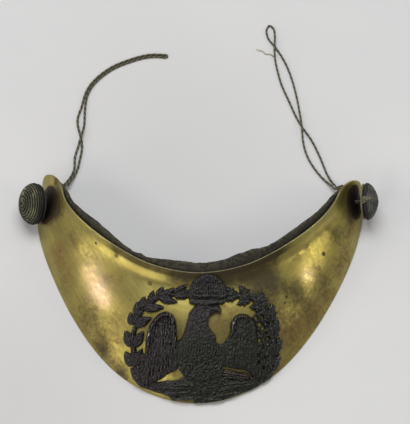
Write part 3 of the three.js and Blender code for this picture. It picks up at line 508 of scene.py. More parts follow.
def plate_sheet():
    """The brass sheet as rings round its section: outer surface, neck edge, inner surface, outer edge."""
    t = stations(TIP_START, TIP_END, *PLATE_STATIONS)
    share = tip_share(t, TIP_START, TIP_END)
    low = 0.5 - 0.5 * share
    high = 0.5 + 0.5 * share
    under = meets_table(t, low, SHEET)
    chord = chord_length(t)
    rim = np.minimum(RIM_ROUND / chord, 0.2 * (high - low))
    s = 1 - (1 - np.linspace(0, 1, PLATE_ACROSS)) ** 1.3
    rows = []
    tv = []

    def add(v, depth):
        rows.append(below(t, v, np.broadcast_to(depth, t.shape) - hammering(t, v)))
        tv.append(np.stack([t, v + 0 * t, np.broadcast_to(depth, t.shape)], -1))

    start = low + rim
    for q in s:
        add(start + (high - rim - start) * q, 0.0)
    for a in (0.25, 0.5, 0.75):
        add(high - rim * (1 - a) ** 2, RIM_ROUND * a * a)
    add(high, 0.5)
    for a in (0.25, 0.5, 0.75):
        add(high - rim * a * a, SHEET - RIM_ROUND * (1 - a) ** 2)
    inner = under + rim
    for q in s[::-2]:
        add(inner + (high - rim - inner) * q, SHEET)
    seated = low < 0.02
    edge_in = below(t, under, np.full_like(t, SHEET))
    edge_out = surface(t, low)
    edge_in[seated, 2] = 0
    edge_out[seated, 2] = 0
    rows.append(edge_in)
    tv.append(np.stack([t, under, np.full_like(t, SHEET)], -1))
    contact = edge_out * 0.7 + edge_in * 0.3
    shoulder = rows[0]
    rows.append(contact)
    tv.append(np.stack([t, low, np.full_like(t, 0.5)], -1))
    for a in (0.3, 0.6, 0.8):
        rows.append((1 - a) ** 2 * contact + 2 * a * (1 - a) * edge_out + a * a * shoulder)
        tv.append(np.stack([t, low, np.full_like(t, 0.2)], -1))
    points = np.stack(rows, 1)
    return points, np.stack(tv, 1)


def stain_and_light_amounts(t, v):
    """How much of each tone, stain and painted light alike, lies at places of the plate. Overlaps join
    softly.
    """
    here = surface(t, v)
    total = np.zeros(t.shape + (4,))
    for t_stain, v_stain, size, *tones in STAINS_AND_PAINTED_LIGHT:
        near = np.exp(-np.sum((here - surface(t_stain, v_stain)) ** 2, -1) / size**2)
        total = total + (1 - total) * near[..., None] * np.array(tones)
    return total


points, plate_tv = plate_sheet()
plate = mesh_object("plate_sheet", points.reshape(-1, 3), ring_faces(points.shape[0], points.shape[1]))
t, v, depth = plate_tv.reshape(-1, 3).T
stains_and_light = stain_and_light_amounts(t, v)
chord = chord_length(t)
store(plate, "sheet", np.stack([T_LONG * t, v * chord, (1 - v) * chord], -1))
store(plate, "stains_and_light", stains_and_light[:, :3])
store(plate, "pink_highlight", stains_and_light[:, 3])
store(plate, "inside", smooth(0.5, 0.95, depth))
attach(plate, "root")
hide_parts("plate")


# Corners of the lining's worn upper edge: place along the crescent, width, height in mm
LINING_CORNERS = (
    (-2.36, 0.16, 0.45), (2.42, 0.2, 0.45), (-4.9, 0.2, 0.25), (1.2, 0.4, -0.2), (-0.9, 0.45, -0.15),
)


def lining_sheet():
    """The leather as rings round its section, with how near each point lies to the upper edge."""
    t = stations(LINING_TIP_START, LINING_TIP_END, *LINING_STATIONS)
    share = tip_share(t, LINING_TIP_START, LINING_TIP_END)
    chord = chord_length(t)
    low = 0.5 - (0.5 - LINING_INSET / chord) * share
    high = 0.5 + (0.5 + band_wide(t) / chord) * share
    top = SHEET + LINING_GAP
    ragged = RAGGED[0] * value_noise(t * 6.5 + 9, 0 * t + 2, 61)
    ragged = ragged + RAGGED[1] * value_noise(t * 17, 0 * t + 4, 62)
    for at, wide, rise in LINING_CORNERS:
        ragged = ragged + rise * np.exp(-(((t - at) / wide) ** 2))
    high = high + ragged / chord * share
    rows = []
    shares = []
    round_off = LINING_ROUND / chord

    def add(v, depth, part):
        wrinkle = WRINKLED[0] * value_noise(t * 5, v * 5 + 3, 63)
        wrinkle = wrinkle + WRINKLED[1] * value_noise(t * 15, v * 14, 64)
        rows.append(below(t, v, top + depth + wrinkle * smooth(0.0, 0.3, part) * (depth > 0.2)))
        shares.append(np.full_like(t, part))

    s = np.linspace(0, 1, LINING_ACROSS)
    for q in s:
        add(low + round_off + (high - low - 2 * round_off) * q, 0.0, q)
    add(high - 0.3 * round_off, 0.12, 1.0)
    add(high, 0.5 * LINING_THICK, 1.0)
    add(high - 0.3 * round_off, LINING_THICK - 0.12, 1.0)
    for q in s[::-1]:
        add(low + round_off + (high - low - 2 * round_off) * q, LINING_THICK, q)
    add(low, 0.5 * LINING_THICK, 0.0)
    return np.stack(rows, 1), np.stack(shares, 1)


points, share = lining_sheet()
lining = mesh_object("lining_sheet", points.reshape(-1, 3), ring_faces(points.shape[0], points.shape[1]))
store(lining, "edge", smooth(0.90, 1.0, share).ravel())
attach(lining, "root")
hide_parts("lining")


# Ornament: a relief drawn in a slanted plane and laid on the plate
EMBLEM_TILT = math.radians(27)
EMBLEM_GAP = 0.3
EMBLEM_STEP = 0.25
EMBLEM_MARGIN = 0.45
EMBLEM_NECK_MARGIN = 0.2
EMBLEM_X = (-30.6, 37.8)
EMBLEM_Y = (-0.4, 55.2)
EMBLEM_THIN = 0.25
# Cosine between the ornament's plane and the plate below most of it
EMBLEM_FACING = 0.92
# About how tall the plate is in the ornament's plane
PLANE_TALL = 57
EDGE_HEIGHT = 0.45
PLANE_UP = np.array([0.0, math.cos(EMBLEM_TILT), math.sin(EMBLEM_TILT)])
PLANE_OUT = np.array([0.0, -math.sin(EMBLEM_TILT), math.cos(EMBLEM_TILT)])

WING_LEFT = (
    (-11.5, 37.6), (-14.5, 36.9), (-17.2, 34.4), (-18.9, 31.3), (-19.9, 28.0), (-20.3, 24.5), (-20.5, 20.5),
    (-20.7, 16.5), (-21.3, 12.5), (-21.9, 9.0), (-20.6, 7.2), (-18.4, 7.4), (-16.6, 8.3), (-13.6, 10.0),
    (-11.4, 11.6), (-9.6, 12.8), (-7.6, 13.6), (-6.9, 16.5), (-6.8, 21.0), (-7.2, 25.5), (-7.7, 29.5),
    (-7.9, 33.0), (-8.9, 36.0),
)
WING_RIGHT = (
    (18.6, 37.5), (16.2, 36.5), (14.8, 34.6), (14.2, 32.2), (14.3, 30.2), (13.4, 28.4), (12.3, 26.2),
    (10.6, 24.0), (9.5, 20.0), (10.0, 16.5), (14.0, 15.3), (18.0, 14.6), (22.2, 13.6), (24.6, 10.6),
    (28.5, 11.8), (29.4, 14.5), (27.4, 18.0), (26.2, 22.0), (25.5, 26.0), (25.2, 29.5), (24.8, 32.5),
    (23.4, 35.2), (21.2, 36.9),
)
BODY = (
    (-2.2, 37.8), (-3.0, 35.5), (-3.9, 33.0), (-4.6, 30.0), (-5.6, 27.2), (-7.4, 25.0), (-7.7, 20.0),
    (-7.5, 16.5), (-6.0, 13.4), (-2.6, 10.8), (3.0, 9.6), (8.0, 10.6), (11.6, 12.0), (12.0, 15.0),
    (12.5, 20.0), (12.4, 24.6), (8.9, 25.5), (8.5, 27.8), (7.4, 29.6), (6.0, 31.2), (5.3, 33.4),
    (5.5, 35.6), (4.6, 37.0),
)
HEAD = (
    (-2.4, 37.4), (-1.5, 39.3), (0.6, 40.7), (3.2, 41.1), (6.2, 40.7), (8.8, 40.6), (10.4, 39.6),
    (10.6, 38.2), (9.9, 37.5), (9.2, 38.3), (7.6, 37.4), (6.0, 36.3), (4.8, 35.4), (0.0, 34.5),
)
CROWN = (
    (-2.6, 43.2), (-3.0, 46.0), (-2.6, 48.8), (-0.9, 50.8), (1.2, 52.2), (3.2, 53.4), (5.8, 53.2),
    (8.2, 52.4), (10.4, 50.8), (11.9, 48.8), (12.8, 46.0), (11.9, 43.2), (4.5, 42.9),
)
CROWN_BAND = (
    (-2.2, 43.6), (-2.0, 41.0), (4.2, 40.6), (10.2, 41.0), (12.2, 42.2), (11.6, 43.7), (4.5, 43.5),
)
FOOT = (
    (-19.6, 5.8), (-18.2, 8.0), (-15.0, 8.6), (-12.0, 9.2), (-9.2, 9.3), (-6.6, 9.9), (-4.2, 11.2),
    (0.0, 11.9), (6.0, 12.6), (11.8, 11.6), (16.0, 10.0), (19.6, 9.3), (23.0, 10.4), (28.4, 10.2),
    (25.0, 6.4), (20.4, 5.0), (15.0, 2.8), (9.8, 0.2), (4.0, -0.4), (0.4, 0.0), (-1.2, 2.0), (-5.4, 2.0),
    (-8.4, 1.0), (-10.6, 2.9), (-13.0, 3.7), (-16.4, 4.6),
)
# Low rough ground between the leaves beside the wings
FILL_RIGHT = (
    (23.5, 36.5), (27.0, 38.5), (30.5, 36.0), (31.5, 31.0), (32.0, 25.0), (32.5, 18.0), (30.5, 13.0),
    (27.0, 11.5), (25.0, 16.0), (24.0, 24.0), (23.5, 31.0),
)
FILL_LEFT = (
    (-23.0, 19.0), (-20.2, 19.5), (-20.2, 10.0), (-18.6, 5.8), (-21.6, 6.2), (-23.4, 8.6), (-24.8, 12.5),
)
# Hollow below the right wing, filled low and rusty
GAP_RIGHT = (
    (11.9, 14.0), (14.0, 14.5), (17.6, 13.4), (21.6, 12.9), (22.0, 11.2), (19.2, 9.9), (15.6, 10.6),
    (12.2, 12.0),
)
# Painted glints on the wings' rims
PAINTED_GLINTS = ((-19.1, 28.2), (15.6, 33.5))
# Thin rods across the hollow on the right, as open lines
RODS = (
    ((-5.6, 16.6), (2.0, 15.6), (10.0, 13.9), (21.0, 12.0)),
    ((11.0, 12.6), (16.0, 11.9), (21.8, 10.7)),
    ((12.6, 11.4), (17.0, 10.8), (20.4, 10.1)),
)
# Leaves of the wreath and of the spray at the bottom: base (x, y), tip (x, y), width
LEAVES_LEFT = (
    (-9.2, 45.4, -3.2, 48.8, 2.4), (-8.6, 44.8, -2.2, 46.4, 2.3), (-9.0, 43.9, -2.4, 43.9, 2.3),
    (-16.2, 43.4, -13.4, 47.9, 2.8), (-15.4, 43.8, -8.2, 46.9, 2.8), (-15.2, 42.9, -7.3, 41.7, 3.1),
    (-22.9, 38.6, -21.0, 43.8, 3.1), (-22.2, 39.2, -16.0, 43.7, 3.0), (-21.7, 38.6, -13.0, 39.4, 3.7),
    (-26.2, 31.6, -26.8, 36.9, 3.3), (-25.6, 32.2, -22.4, 38.0, 3.1), (-25.2, 31.5, -18.0, 35.0, 4.1),
    (-26.3, 22.6, -28.9, 29.5, 4.2), (-25.8, 23.0, -25.5, 31.2, 2.2), (-25.3, 22.6, -21.4, 29.4, 4.2),
    (-25.8, 14.6, -28.9, 20.8, 3.8), (-25.2, 15.0, -25.2, 23.6, 2.8), (-24.6, 14.6, -21.8, 22.6, 3.3),
    (-22.2, 7.8, -26.5, 14.2, 3.1), (-22.0, 8.0, -23.6, 15.6, 2.8), (-21.4, 8.0, -20.6, 14.6, 2.6),
    (-19.2, 6.0, -25.0, 9.6, 2.4), (-18.8, 6.2, -22.4, 11.6, 2.4), (-24.4, 35.6, -24.2, 41.4, 3.0),
    (-19.2, 41.0, -17.4, 46.4, 2.8), (-12.6, 43.0, -9.2, 47.6, 2.6), (-6.4, 43.6, -2.0, 45.2, 2.6),
)
LEAVES_RIGHT = (
    (16.8, 45.2, 11.2, 48.0, 2.8), (16.4, 44.8, 11.0, 45.4, 2.6), (16.8, 44.4, 11.6, 42.6, 2.8),
    (22.4, 43.6, 17.4, 48.8, 3.8), (21.8, 43.2, 15.6, 45.4, 3.2), (22.2, 42.6, 16.6, 41.4, 2.8),
    (28.2, 39.8, 26.0, 47.0, 4.0), (27.6, 40.0, 22.0, 45.7, 3.6), (27.4, 39.4, 21.8, 40.4, 3.0),
    (31.7, 34.2, 30.8, 42.0, 3.8), (31.1, 34.4, 26.6, 41.2, 3.6), (30.8, 33.8, 23.6, 36.6, 3.8),
    (33.0, 27.6, 33.3, 36.4, 3.2), (32.4, 27.6, 30.2, 34.6, 2.8), (32.2, 27.2, 26.3, 30.6, 3.2),
    (33.4, 20.8, 35.3, 28.0, 3.1), (33.0, 20.8, 31.6, 28.6, 2.8), (32.6, 20.6, 27.0, 24.6, 3.2),
    (32.2, 13.8, 35.0, 21.0, 3.0), (31.7, 13.8, 30.6, 21.5, 2.9), (31.2, 13.6, 26.8, 18.8, 3.0),
    (28.4, 8.8, 32.8, 14.8, 2.8), (27.6, 8.8, 28.6, 15.6, 2.8), (26.6, 8.4, 22.6, 11.6, 2.4),
)
LEAVES_BOTTOM = (
    (-4.0, 6.4, -15.6, 6.6, 3.2), (-3.0, 4.8, -13.9, 4.0, 3.1), (-1.5, 8.2, -9.4, 7.4, 2.4),
    (0.0, 2.8, -8.6, 1.9, 2.2), (10.0, 5.6, 20.8, 8.6, 3.2), (9.0, 3.4, 19.4, 5.4, 3.2),
    (12.0, 8.4, 25.0, 9.6, 3.0), (4.0, 2.4, 13.4, 1.8, 2.6), (1.0, 6.8, -5.0, 10.2, 2.2),
    (18.0, 7.4, 27.0, 9.6, 2.8),
)
STEM_LEFT = (
    (-20.6, 6.8), (-24.0, 12.0), (-25.6, 18.0), (-25.8, 25.0), (-24.5, 32.0), (-21.6, 38.6), (-15.6, 43.1),
    (-8.4, 44.7), (-2.0, 45.5),
)
STEM_RIGHT = (
    (24.0, 6.9), (29.4, 11.2), (32.3, 17.0), (33.0, 24.0), (32.3, 31.0), (29.7, 37.8), (24.6, 42.8),
    (17.2, 45.2), (11.0, 46.0),
)
# Openings between the leaves: place (x, y) and radius
OPENINGS = (
    (26.4, 33.0, 0.8), (27.7, 31.4, 0.7), (26.5, 26.4, 0.75), (29.9, 27.0, 0.6), (24.8, 35.6, 0.7),
    (25.7, 29.6, 0.5), (27.8, 23.6, 0.5), (26.3, 20.4, 0.45), (28.9, 29.4, 0.4), (28.5, 19.2, 0.4),
    (26.2, 17.4, 0.4), (27.3, 36.0, 0.55), (29.6, 33.4, 0.4), (28.2, 15.2, 0.35),
)
# Berries, the ball on the crown and the one in the spray: place (x, y) and radius
BERRIES = ((28.9, 33.0, 0.8), (29.7, 24.8, 0.8), (29.6, 20.8, 0.7), (3.5, 53.4, 0.75), (4.4, 5.6, 1.5))


def rounded_outline(corners, steps=5):
    """A closed smooth outline through the corners."""
    p = np.array(corners, float)
    line = []
    n = len(p)
    for i in range(n):
        a, b, c, d = p[i - 1], p[i], p[(i + 1) % n], p[(i + 2) % n]
        for s in np.arange(steps) / steps:
            square = (2 * a - 5 * b + 4 * c - d) * s**2
            cube = (3 * b - a - 3 * c + d) * s**3
            line.append(0.5 * (2 * b + (c - a) * s + square + cube))
    return np.array(line)


def inside_by(x, y, outline):
    """Distance from a closed outline, positive inside."""
    far = np.full(x.shape, np.inf)
    turns = np.zeros(x.shape, bool)
    for (ax, ay), (bx, by) in zip(outline, np.roll(outline, -1, axis=0)):
        ex, ey = bx - ax, by - ay
        s = np.clip(((x - ax) * ex + (y - ay) * ey) / (ex * ex + ey * ey), 0, 1)
        far = np.minimum(far, np.hypot(x - ax - s * ex, y - ay - s * ey))
        if ay != by:
            cross = ((ay > y) != (by > y)) & (x < ex * (y - ay) / (by - ay) + ax)
            turns ^= cross
    return np.where(turns, far, -far)


def pillow(f, wide):
    """Rises from 0 at an edge to 1 at the given distance inside it."""
    s = np.clip(f / wide, 0, 1)
    return np.sqrt(1 - (1 - s) ** 2)


def line_distance(x, y, line):
    """Distance from an open line, and the share of its length at the nearest place."""
    best = np.full(x.shape, np.inf)
    share = np.zeros(x.shape)
    steps = np.linalg.norm(np.diff(line, axis=0), axis=1)
    along = np.concatenate([[0], np.cumsum(steps)])
    for k in range(len(line) - 1):
        (ax, ay), (bx, by) = line[k], line[k + 1]
        ex, ey = bx - ax, by - ay
        s = np.clip(((x - ax) * ex + (y - ay) * ey) / (ex * ex + ey * ey), 0, 1)
        d = np.hypot(x - ax - s * ex, y - ay - s * ey)
        near = d < best
        best = np.where(near, d, best)
        share = np.where(near, (along[k] + s * steps[k]) / along[-1], share)
    return best, share


def leaf_relief(x, y, row, lobes, top):
    """(inside distance, height) of a leaf with a midrib and slanted veins."""
    bx, by, tx, ty, wide = row
    long = math.hypot(tx - bx, ty - by)
    ux, uy = (tx - bx) / long, (ty - by) / long
    s = ((x - bx) * ux + (y - by) * uy) / long
    n = -(x - bx) * uy + (y - by) * ux
    q = np.clip(s, 0, 1)
    half = 0.5 * wide * np.sin(np.pi * q**0.72) ** 0.75
    half = half * (1 + lobes * np.sin(q * 19.0))
    f = np.where((s > 0) & (s < 1), half - np.abs(n), -1.0)
    r = np.abs(n) / np.maximum(half, 1e-3)
    body = 0.55 + 0.45 * pillow(f, 0.45 * wide)
    rib = np.exp(-((n / 0.24) ** 2)) * 0.34 - np.exp(-(((np.abs(n) - 0.5) / 0.25) ** 2)) * 0.14
    veins = 0.07 * np.cos((s * long - 1.1 * np.abs(n)) * 2 * np.pi / 1.05) * np.clip(r * 2, 0, 1)
    return f, top * body * (0.8 + 0.2 * np.sin(np.pi * q)) + rib + veins


def feather_relief(x, y, root, spread, pitch, tiers, tilt):
    """Long feathers in tiers that overlap like tiles, fanning out from a root."""
    fan = (x - root[0]) / (1 + spread * np.maximum(0, root[1] - y)) + tilt * (root[1] - y)
    total = np.zeros(x.shape)
    for k, (start, end) in enumerate(tiers):
        shift = 0.37 * k
        u = fan / pitch + shift
        cell = np.floor(u)
        w = u - cell - 0.5
        wobble = value_noise(cell * 1.7 + 3.1, np.full_like(cell, k + 0.5), 11)
        low = end + 2.2 * wobble
        tip = np.clip((y - low) / (1.6 * pitch), 0, 1)
        half = 0.46 * np.sqrt(1 - (1 - tip) ** 2)
        ridge = np.clip(1 - (w / np.maximum(half, 1e-3)) ** 2, 0, 1)
        shaft = np.exp(-((w / 0.12) ** 2)) * 0.4 * (0.6 + 0.4 * np.cos(y * 3.1 + cell * 2.3))
        fade = smooth(start + 1.6, start - 1.2, y)
        tier = (0.6 * ridge + shaft * (ridge > 0)) * fade + 0.05 * (len(tiers) - 1 - k) * smooth(0, 1, tip)
        total = np.where((y > low) & (y < start + 1.6), np.maximum(total, tier), total)
    return total


def scale_relief(x, y, wide, tall, seed):
    """Small feathers like fish scales, with rounded lower ends."""
    best = np.zeros(x.shape)
    for k in (0, 1):
        u = x / wide + 0.5 * k
        v = y / tall + 0.5 * k
        i = np.floor(u)
        j = np.floor(v)
        jitter = 0.16 * value_noise(i * 1.3 + 0.5, j * 1.7 + 0.5 + 7 * k, seed)
        p = (u - i - 0.5 + jitter) * 2
        q = v - j
        r = np.clip(1 - p * p - (1 - q) ** 2 * 0.9, 0, 1)
        best = np.maximum(best, np.sqrt(r) * (1 - 0.55 * q) + 0.2 * np.exp(-((p / 0.16) ** 2)) * (r > 0))
    return best


def emblem_relief(x, y):
    """(inside distance, height) of the whole ornament at points of its plane."""
    wx = x + 0.12 * value_noise(x / 1.3, y / 1.3, 3)
    wy = y + 0.12 * value_noise(x / 1.3 + 20, y / 1.3, 4)
    reach = np.full(x.shape, -9.0)
    height = np.zeros(x.shape)

    def lay(f, h):
        nonlocal reach, height
        height = np.where(f > 0, np.maximum(height, h), height)
        reach = np.maximum(reach, f)

    for stem in (STEM_LEFT, STEM_RIGHT):
        d, share = line_distance(wx, wy, np.array(stem))
        lay(0.65 - d, 0.95 * pillow(0.65 - d, 0.6))
    pits = value_noise(wx / 0.55, wy / 0.55, 12)
    strokes = value_noise(wx / 0.42, wy / 1.5, 13)
    foot = inside_by(wx, wy, rounded_outline(FOOT))
    weave = 0.12 * np.cos((wx * 0.35 + wy) * 2 * np.pi / 1.25 + 2.5 * value_noise(wx / 3, wy / 2, 14))
    lay(foot, 0.85 + 0.15 * pillow(foot, 1.5) + (weave + 0.3 * pits) * pillow(foot, 1.5))
    for outline in (FILL_LEFT, FILL_RIGHT):
        f = inside_by(wx, wy, rounded_outline(outline))
        lay(f, 0.75 + 0.1 * pillow(f, 1.0) + 0.4 * pits + 0.2 * strokes)
    laurel, oak, spray = (LEAVES_LEFT, 0.0, 1.35), (LEAVES_RIGHT, 0.2, 1.35), (LEAVES_BOTTOM, 0.08, 1.55)
    for table, lobes, top in (laurel, oak, spray):
        for row in table:
            f, leaf = leaf_relief(wx, wy, row, lobes, top)
            lay(f, leaf + 0.24 * pits)

    f = inside_by(wx, wy, rounded_outline(WING_LEFT))
    feathers = feather_relief(
        wx, wy, (-13.0, 36.0), 0.012, 0.95, ((38.0, 27.5), (29.5, 19.5), (21.5, 12.6), (14.5, 6.6)), 0.05,
    )
    outer_side = smooth(19.5, 24.5, wy) * smooth(-7.0, -9.2, wx + 0.35 * (34 - wy))
    rim = np.exp(-(((f - 1.0) / 0.75) ** 2)) * outer_side
    dip = np.exp(-(((wx + 12.6) / 3.4) ** 2) - ((wy - 32.0) / 3.2) ** 2)
    lay(f, 0.9 + 0.75 * pillow(f, 3.2) + 0.5 * feathers + 0.5 * strokes + 1.15 * rim - 1.0 * dip)

    f = inside_by(wx, wy, rounded_outline(WING_RIGHT))
    feathers = feather_relief(
        wx, wy, (19.5, 36.0), 0.014, 0.95, ((38.0, 28.0), (30.0, 21.0), (23.0, 14.5), (16.5, 9.0)), -0.06,
    )
    rim = np.exp(-(((f - 1.0) / 0.75) ** 2)) * smooth(26.0, 30.5, wy)
    lay(f, 0.8 + 0.75 * pillow(f, 3.2) + 0.28 * feathers + 0.3 * strokes + 0.16 * pits + 1.15 * rim)

    f = inside_by(wx, wy, rounded_outline(BODY))
    scales = scale_relief(wx, wy, 1.5, 1.7, 5)
    bent = wx + 0.5 * np.sin(wy * 0.45) + 0.3 * value_noise(wx / 3, wy / 2, 8)
    strands = np.abs(np.cos(np.pi * bent / 1.1))
    strands = strands * (0.75 + 0.35 * value_noise(wx / 1.1, wy / 2.4, 21))
    round_body = np.clip(1 - ((wx - 1.5) / 7.5) ** 2, 0, 1) ** 0.5
    upper = smooth(22.5, 28.0, wy)
    lower = smooth(21.5, 18.5, wy)
    coat = 0.75 * scales * upper + 0.6 * strands * (1 - upper) * (1 - 0.7 * lower)
    coat = coat + 0.3 * pits * (0.5 + lower)
    lay(f, 0.9 + 0.6 * pillow(f, 2.5) + 1.0 * round_body * smooth(10, 28, wy) + coat)

    f = inside_by(wx, wy, rounded_outline(HEAD))
    eye = np.exp(-((wx - 4.4) ** 2 + (wy - 39.0) ** 2) / 0.22)
    brow = np.exp(-(((wy - 39.9 + 0.12 * (wx - 4)) / 0.32) ** 2))
    brow = brow * smooth(1.0, 3.0, wx) * smooth(9.0, 6.5, wx)
    locks = np.abs(np.sin((wx * 0.9 + wy * 0.7) * 2.2)) * smooth(4.4, 2.0, wx)
    beak = np.exp(-(((wy - 38.9 + 0.35 * np.maximum(0, wx - 8.6) ** 2) / 0.5) ** 2)) * smooth(5.4, 6.6, wx)
    lay(f, 1.5 + 0.9 * pillow(f, 2.0) + 0.35 * brow + 0.45 * locks + 0.35 * beak - 0.5 * eye)

    f = inside_by(wx, wy, rounded_outline(CROWN))
    across = (wx - 4.6) / (7.2 - 0.08 * np.maximum(0, wy - 46) ** 1.7)
    ribs = np.abs(np.cos(np.pi * 7.0 * across)) ** 0.8 * (0.8 + 0.3 * value_noise(wx / 1.2, wy / 1.2, 15))
    lay(f, 0.9 + 0.7 * pillow(f, 3.2) + 0.55 * ribs * pillow(f, 1.2) + 0.25 * pits)
    f = inside_by(wx, wy, rounded_outline(CROWN_BAND))
    lay(f, 1.0 + 0.5 * pillow(f, 0.8))
    pearls = np.abs(np.cos(np.pi * (wx + 0.4) / 1.15)) ** 0.6 * np.exp(-(((wy - 44.4) / 0.5) ** 2))
    groove = np.exp(-(((wy - 42.9) / 0.3) ** 2)) + 0.7 * np.exp(-(((wy - 45.4) / 0.25) ** 2))
    across_crown = smooth(-2.6, -2.0, wx) * smooth(12.2, 11.6, wx)
    height = height + across_crown * (0.55 * pearls - 0.5 * groove)

    gap = inside_by(wx, wy, rounded_outline(GAP_RIGHT))
    lay(gap, 0.7 + 0.1 * pillow(gap, 1.0))
    height = np.where(gap > 0, np.minimum(height, 0.7 + 0.2 * value_noise(wx / 0.7, wy / 0.7, 9)), height)
    for rod_line in RODS:
        rod, share = line_distance(wx, wy, np.array(rod_line))
        lay(0.42 - rod, 1.1 + 0.6 * pillow(0.42 - rod, 0.4) + 0.12 * np.cos(share * 60))
    for ox, oy, radius in OPENINGS:
        reach = np.minimum(reach, np.hypot(wx - ox, (wy - oy) * 0.8) - radius)
    for bx, by, radius in BERRIES:
        d = np.hypot(wx - bx, wy - by)
        lay(radius - d, 0.9 + 0.9 * pillow(radius - d, radius))
    grain = value_noise(x / 0.5, y / 0.5, 6) + 0.6 * value_noise(x / 0.9 + 9, y / 0.9, 7)
    return reach, height + 0.17 * grain


def foot_of(x, y):
    """The place (t, v) on the plate below a point of the ornament's plane."""
    t = x / T_LONG
    v = y / PLANE_TALL
    e = 1e-4
    for _ in range(14):
        p = surface(t, v)
        pt = (surface(t + e, v) - p) / e
        pv = (surface(t, v + e) - p) / e
        fx = p[..., 0] - x
        fy = p @ PLANE_UP - y
        a, b = pt[..., 0], pv[..., 0]
        c, d = pt @ PLANE_UP, pv @ PLANE_UP
        det = a * d - b * c
        t = t - np.clip((d * fx - b * fy) / det, -0.5, 0.5)
        v = v - np.clip((a * fy - c * fx) / det, -0.2, 0.2)
    return t, v


def clipped_grid(xs, ys, reach):
    """Triangles of a grid where reach is over 0, cut along the line where it is 0."""
    nx = len(xs)
    gx, gy = np.meshgrid(xs, ys)
    places = np.stack([gx.ravel(), gy.ravel()], -1).tolist()
    value = reach.ravel()
    near_zero = np.abs(value) < 1e-6
    value = np.where(near_zero, 1e-6, value)
    triangles = []
    cuts = {}

    def cut(i, j):
        key = (i, j) if i < j else (j, i)
        if key not in cuts:
            s = value[key[0]] / (value[key[0]] - value[key[1]])
            s = min(0.96, max(0.04, s))
            a, b = places[key[0]], places[key[1]]
            cuts[key] = len(places)
            places.append([a[0] + (b[0] - a[0]) * s, a[1] + (b[1] - a[1]) * s])
        return cuts[key]

    inside = value > 0
    block = inside.reshape(len(ys), nx)
    some = block[:-1, :-1] | block[1:, :-1] | block[:-1, 1:] | block[1:, 1:]
    for j, i in zip(*np.nonzero(some)):
        k = j * nx + i
        corners = (k, k + 1, k + nx + 1, k + nx)
        pairs = ((0, 1, 2), (0, 2, 3)) if (i + j) % 2 else ((0, 1, 3), (1, 2, 3))
        for pick in pairs:
            tri = [corners[m] for m in pick]
            kept = [m for m in tri if inside[m]]
            if len(kept) == 3:
                triangles.append(tuple(tri))
            elif kept:
                ring = []
                for m in range(3):
                    a, b = tri[m], tri[(m + 1) % 3]
                    if inside[a]:
                        ring.append(a)
                    if inside[a] != inside[b]:
                        ring.append(cut(a, b))
                triangles.append((ring[0], ring[1], ring[2]))
                if len(ring) == 4:
                    triangles.append((ring[0], ring[2], ring[3]))
    return np.array(places), triangles


def build_emblem():
    """The ornament as one closed mesh: relief, smooth back over the plate, and walls between them."""
    xs = np.arange(*EMBLEM_X, EMBLEM_STEP)
    ys = np.arange(*EMBLEM_Y, EMBLEM_STEP)
    gx, gy = np.meshgrid(xs, ys)
    reach, _ = emblem_relief(gx, gy)
    t, v = foot_of(gx, gy)
    reach = np.minimum(reach, v * chord_length(t) - EMBLEM_MARGIN)
    reach = np.minimum(reach, (1 - v) * chord_length(t) - EMBLEM_NECK_MARGIN)
    places, triangles = clipped_grid(xs, ys, reach)
    used = np.unique(np.array(triangles))
    order = np.full(len(places), -1)
    order[used] = np.arange(len(used))
    places = places[used]
    triangles = [tuple(order[list(tri)]) for tri in triangles]
    x, y = places[:, 0], places[:, 1]
    reach, height = emblem_relief(x, y)
    edge = smooth(-0.1, 0.5, np.maximum(reach, 0))
    height = EDGE_HEIGHT + (height - EDGE_HEIGHT) * edge
    t, v = foot_of(x, y)
    base = surface(t, v) + PLANE_OUT * EMBLEM_GAP / EMBLEM_FACING
    top = base + PLANE_OUT * np.maximum(height, EMBLEM_THIN)[:, None]
    n = len(places)
    faces = [tuple(int(k) for k in tri) for tri in triangles]
    edges = {}
    for a, b, c in faces:
        for p, q in ((a, b), (b, c), (c, a)):
            edges[(p, q)] = True
    walls = [(q, p, p + n, q + n) for p, q in edges if (q, p) not in edges]
    back = [(c + n, b + n, a + n) for a, b, c in faces]
    obj = mesh_object("eagle_and_wreath", np.vstack([top, base]), faces + walls + back)
    _, grid = emblem_relief(gx, gy)
    soft = grid.copy()
    for _ in range(3):
        for axis in (0, 1):
            soft = (np.roll(soft, 1, axis) + soft + np.roll(soft, -1, axis)) / 3
    i = np.clip(np.rint((x - xs[0]) / EMBLEM_STEP).astype(int), 0, len(xs) - 1)
    j = np.clip(np.rint((y - ys[0]) / EMBLEM_STEP).astype(int), 0, len(ys) - 1)
    ridge = (grid - soft)[j, i]
    # Painted glints, added to the ridge value.
    for gx_mm, gy_mm in PAINTED_GLINTS:
        ridge = ridge + 1.5 * np.exp(-((x - gx_mm) ** 2 + ((y - gy_mm) * 0.7) ** 2) / 0.14)
    warm = np.maximum(smooth(-4, -16, x), smooth(26.5, 30, y) * smooth(9, 4, x) * smooth(-9, -6, x))
    rusty = smooth(-0.2, 0.5, inside_by(x, y, rounded_outline(GAP_RIGHT))) * smooth(1.2, 0.9, height)
    store(obj, "ridge", np.concatenate([ridge, np.full(n, -0.3)]))
    store(obj, "warm", np.concatenate([warm, warm]))
    store(obj, "rusty", np.concatenate([rusty, rusty]))
    return obj


emblem = build_emblem()
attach(emblem, "root")
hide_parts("emblem")


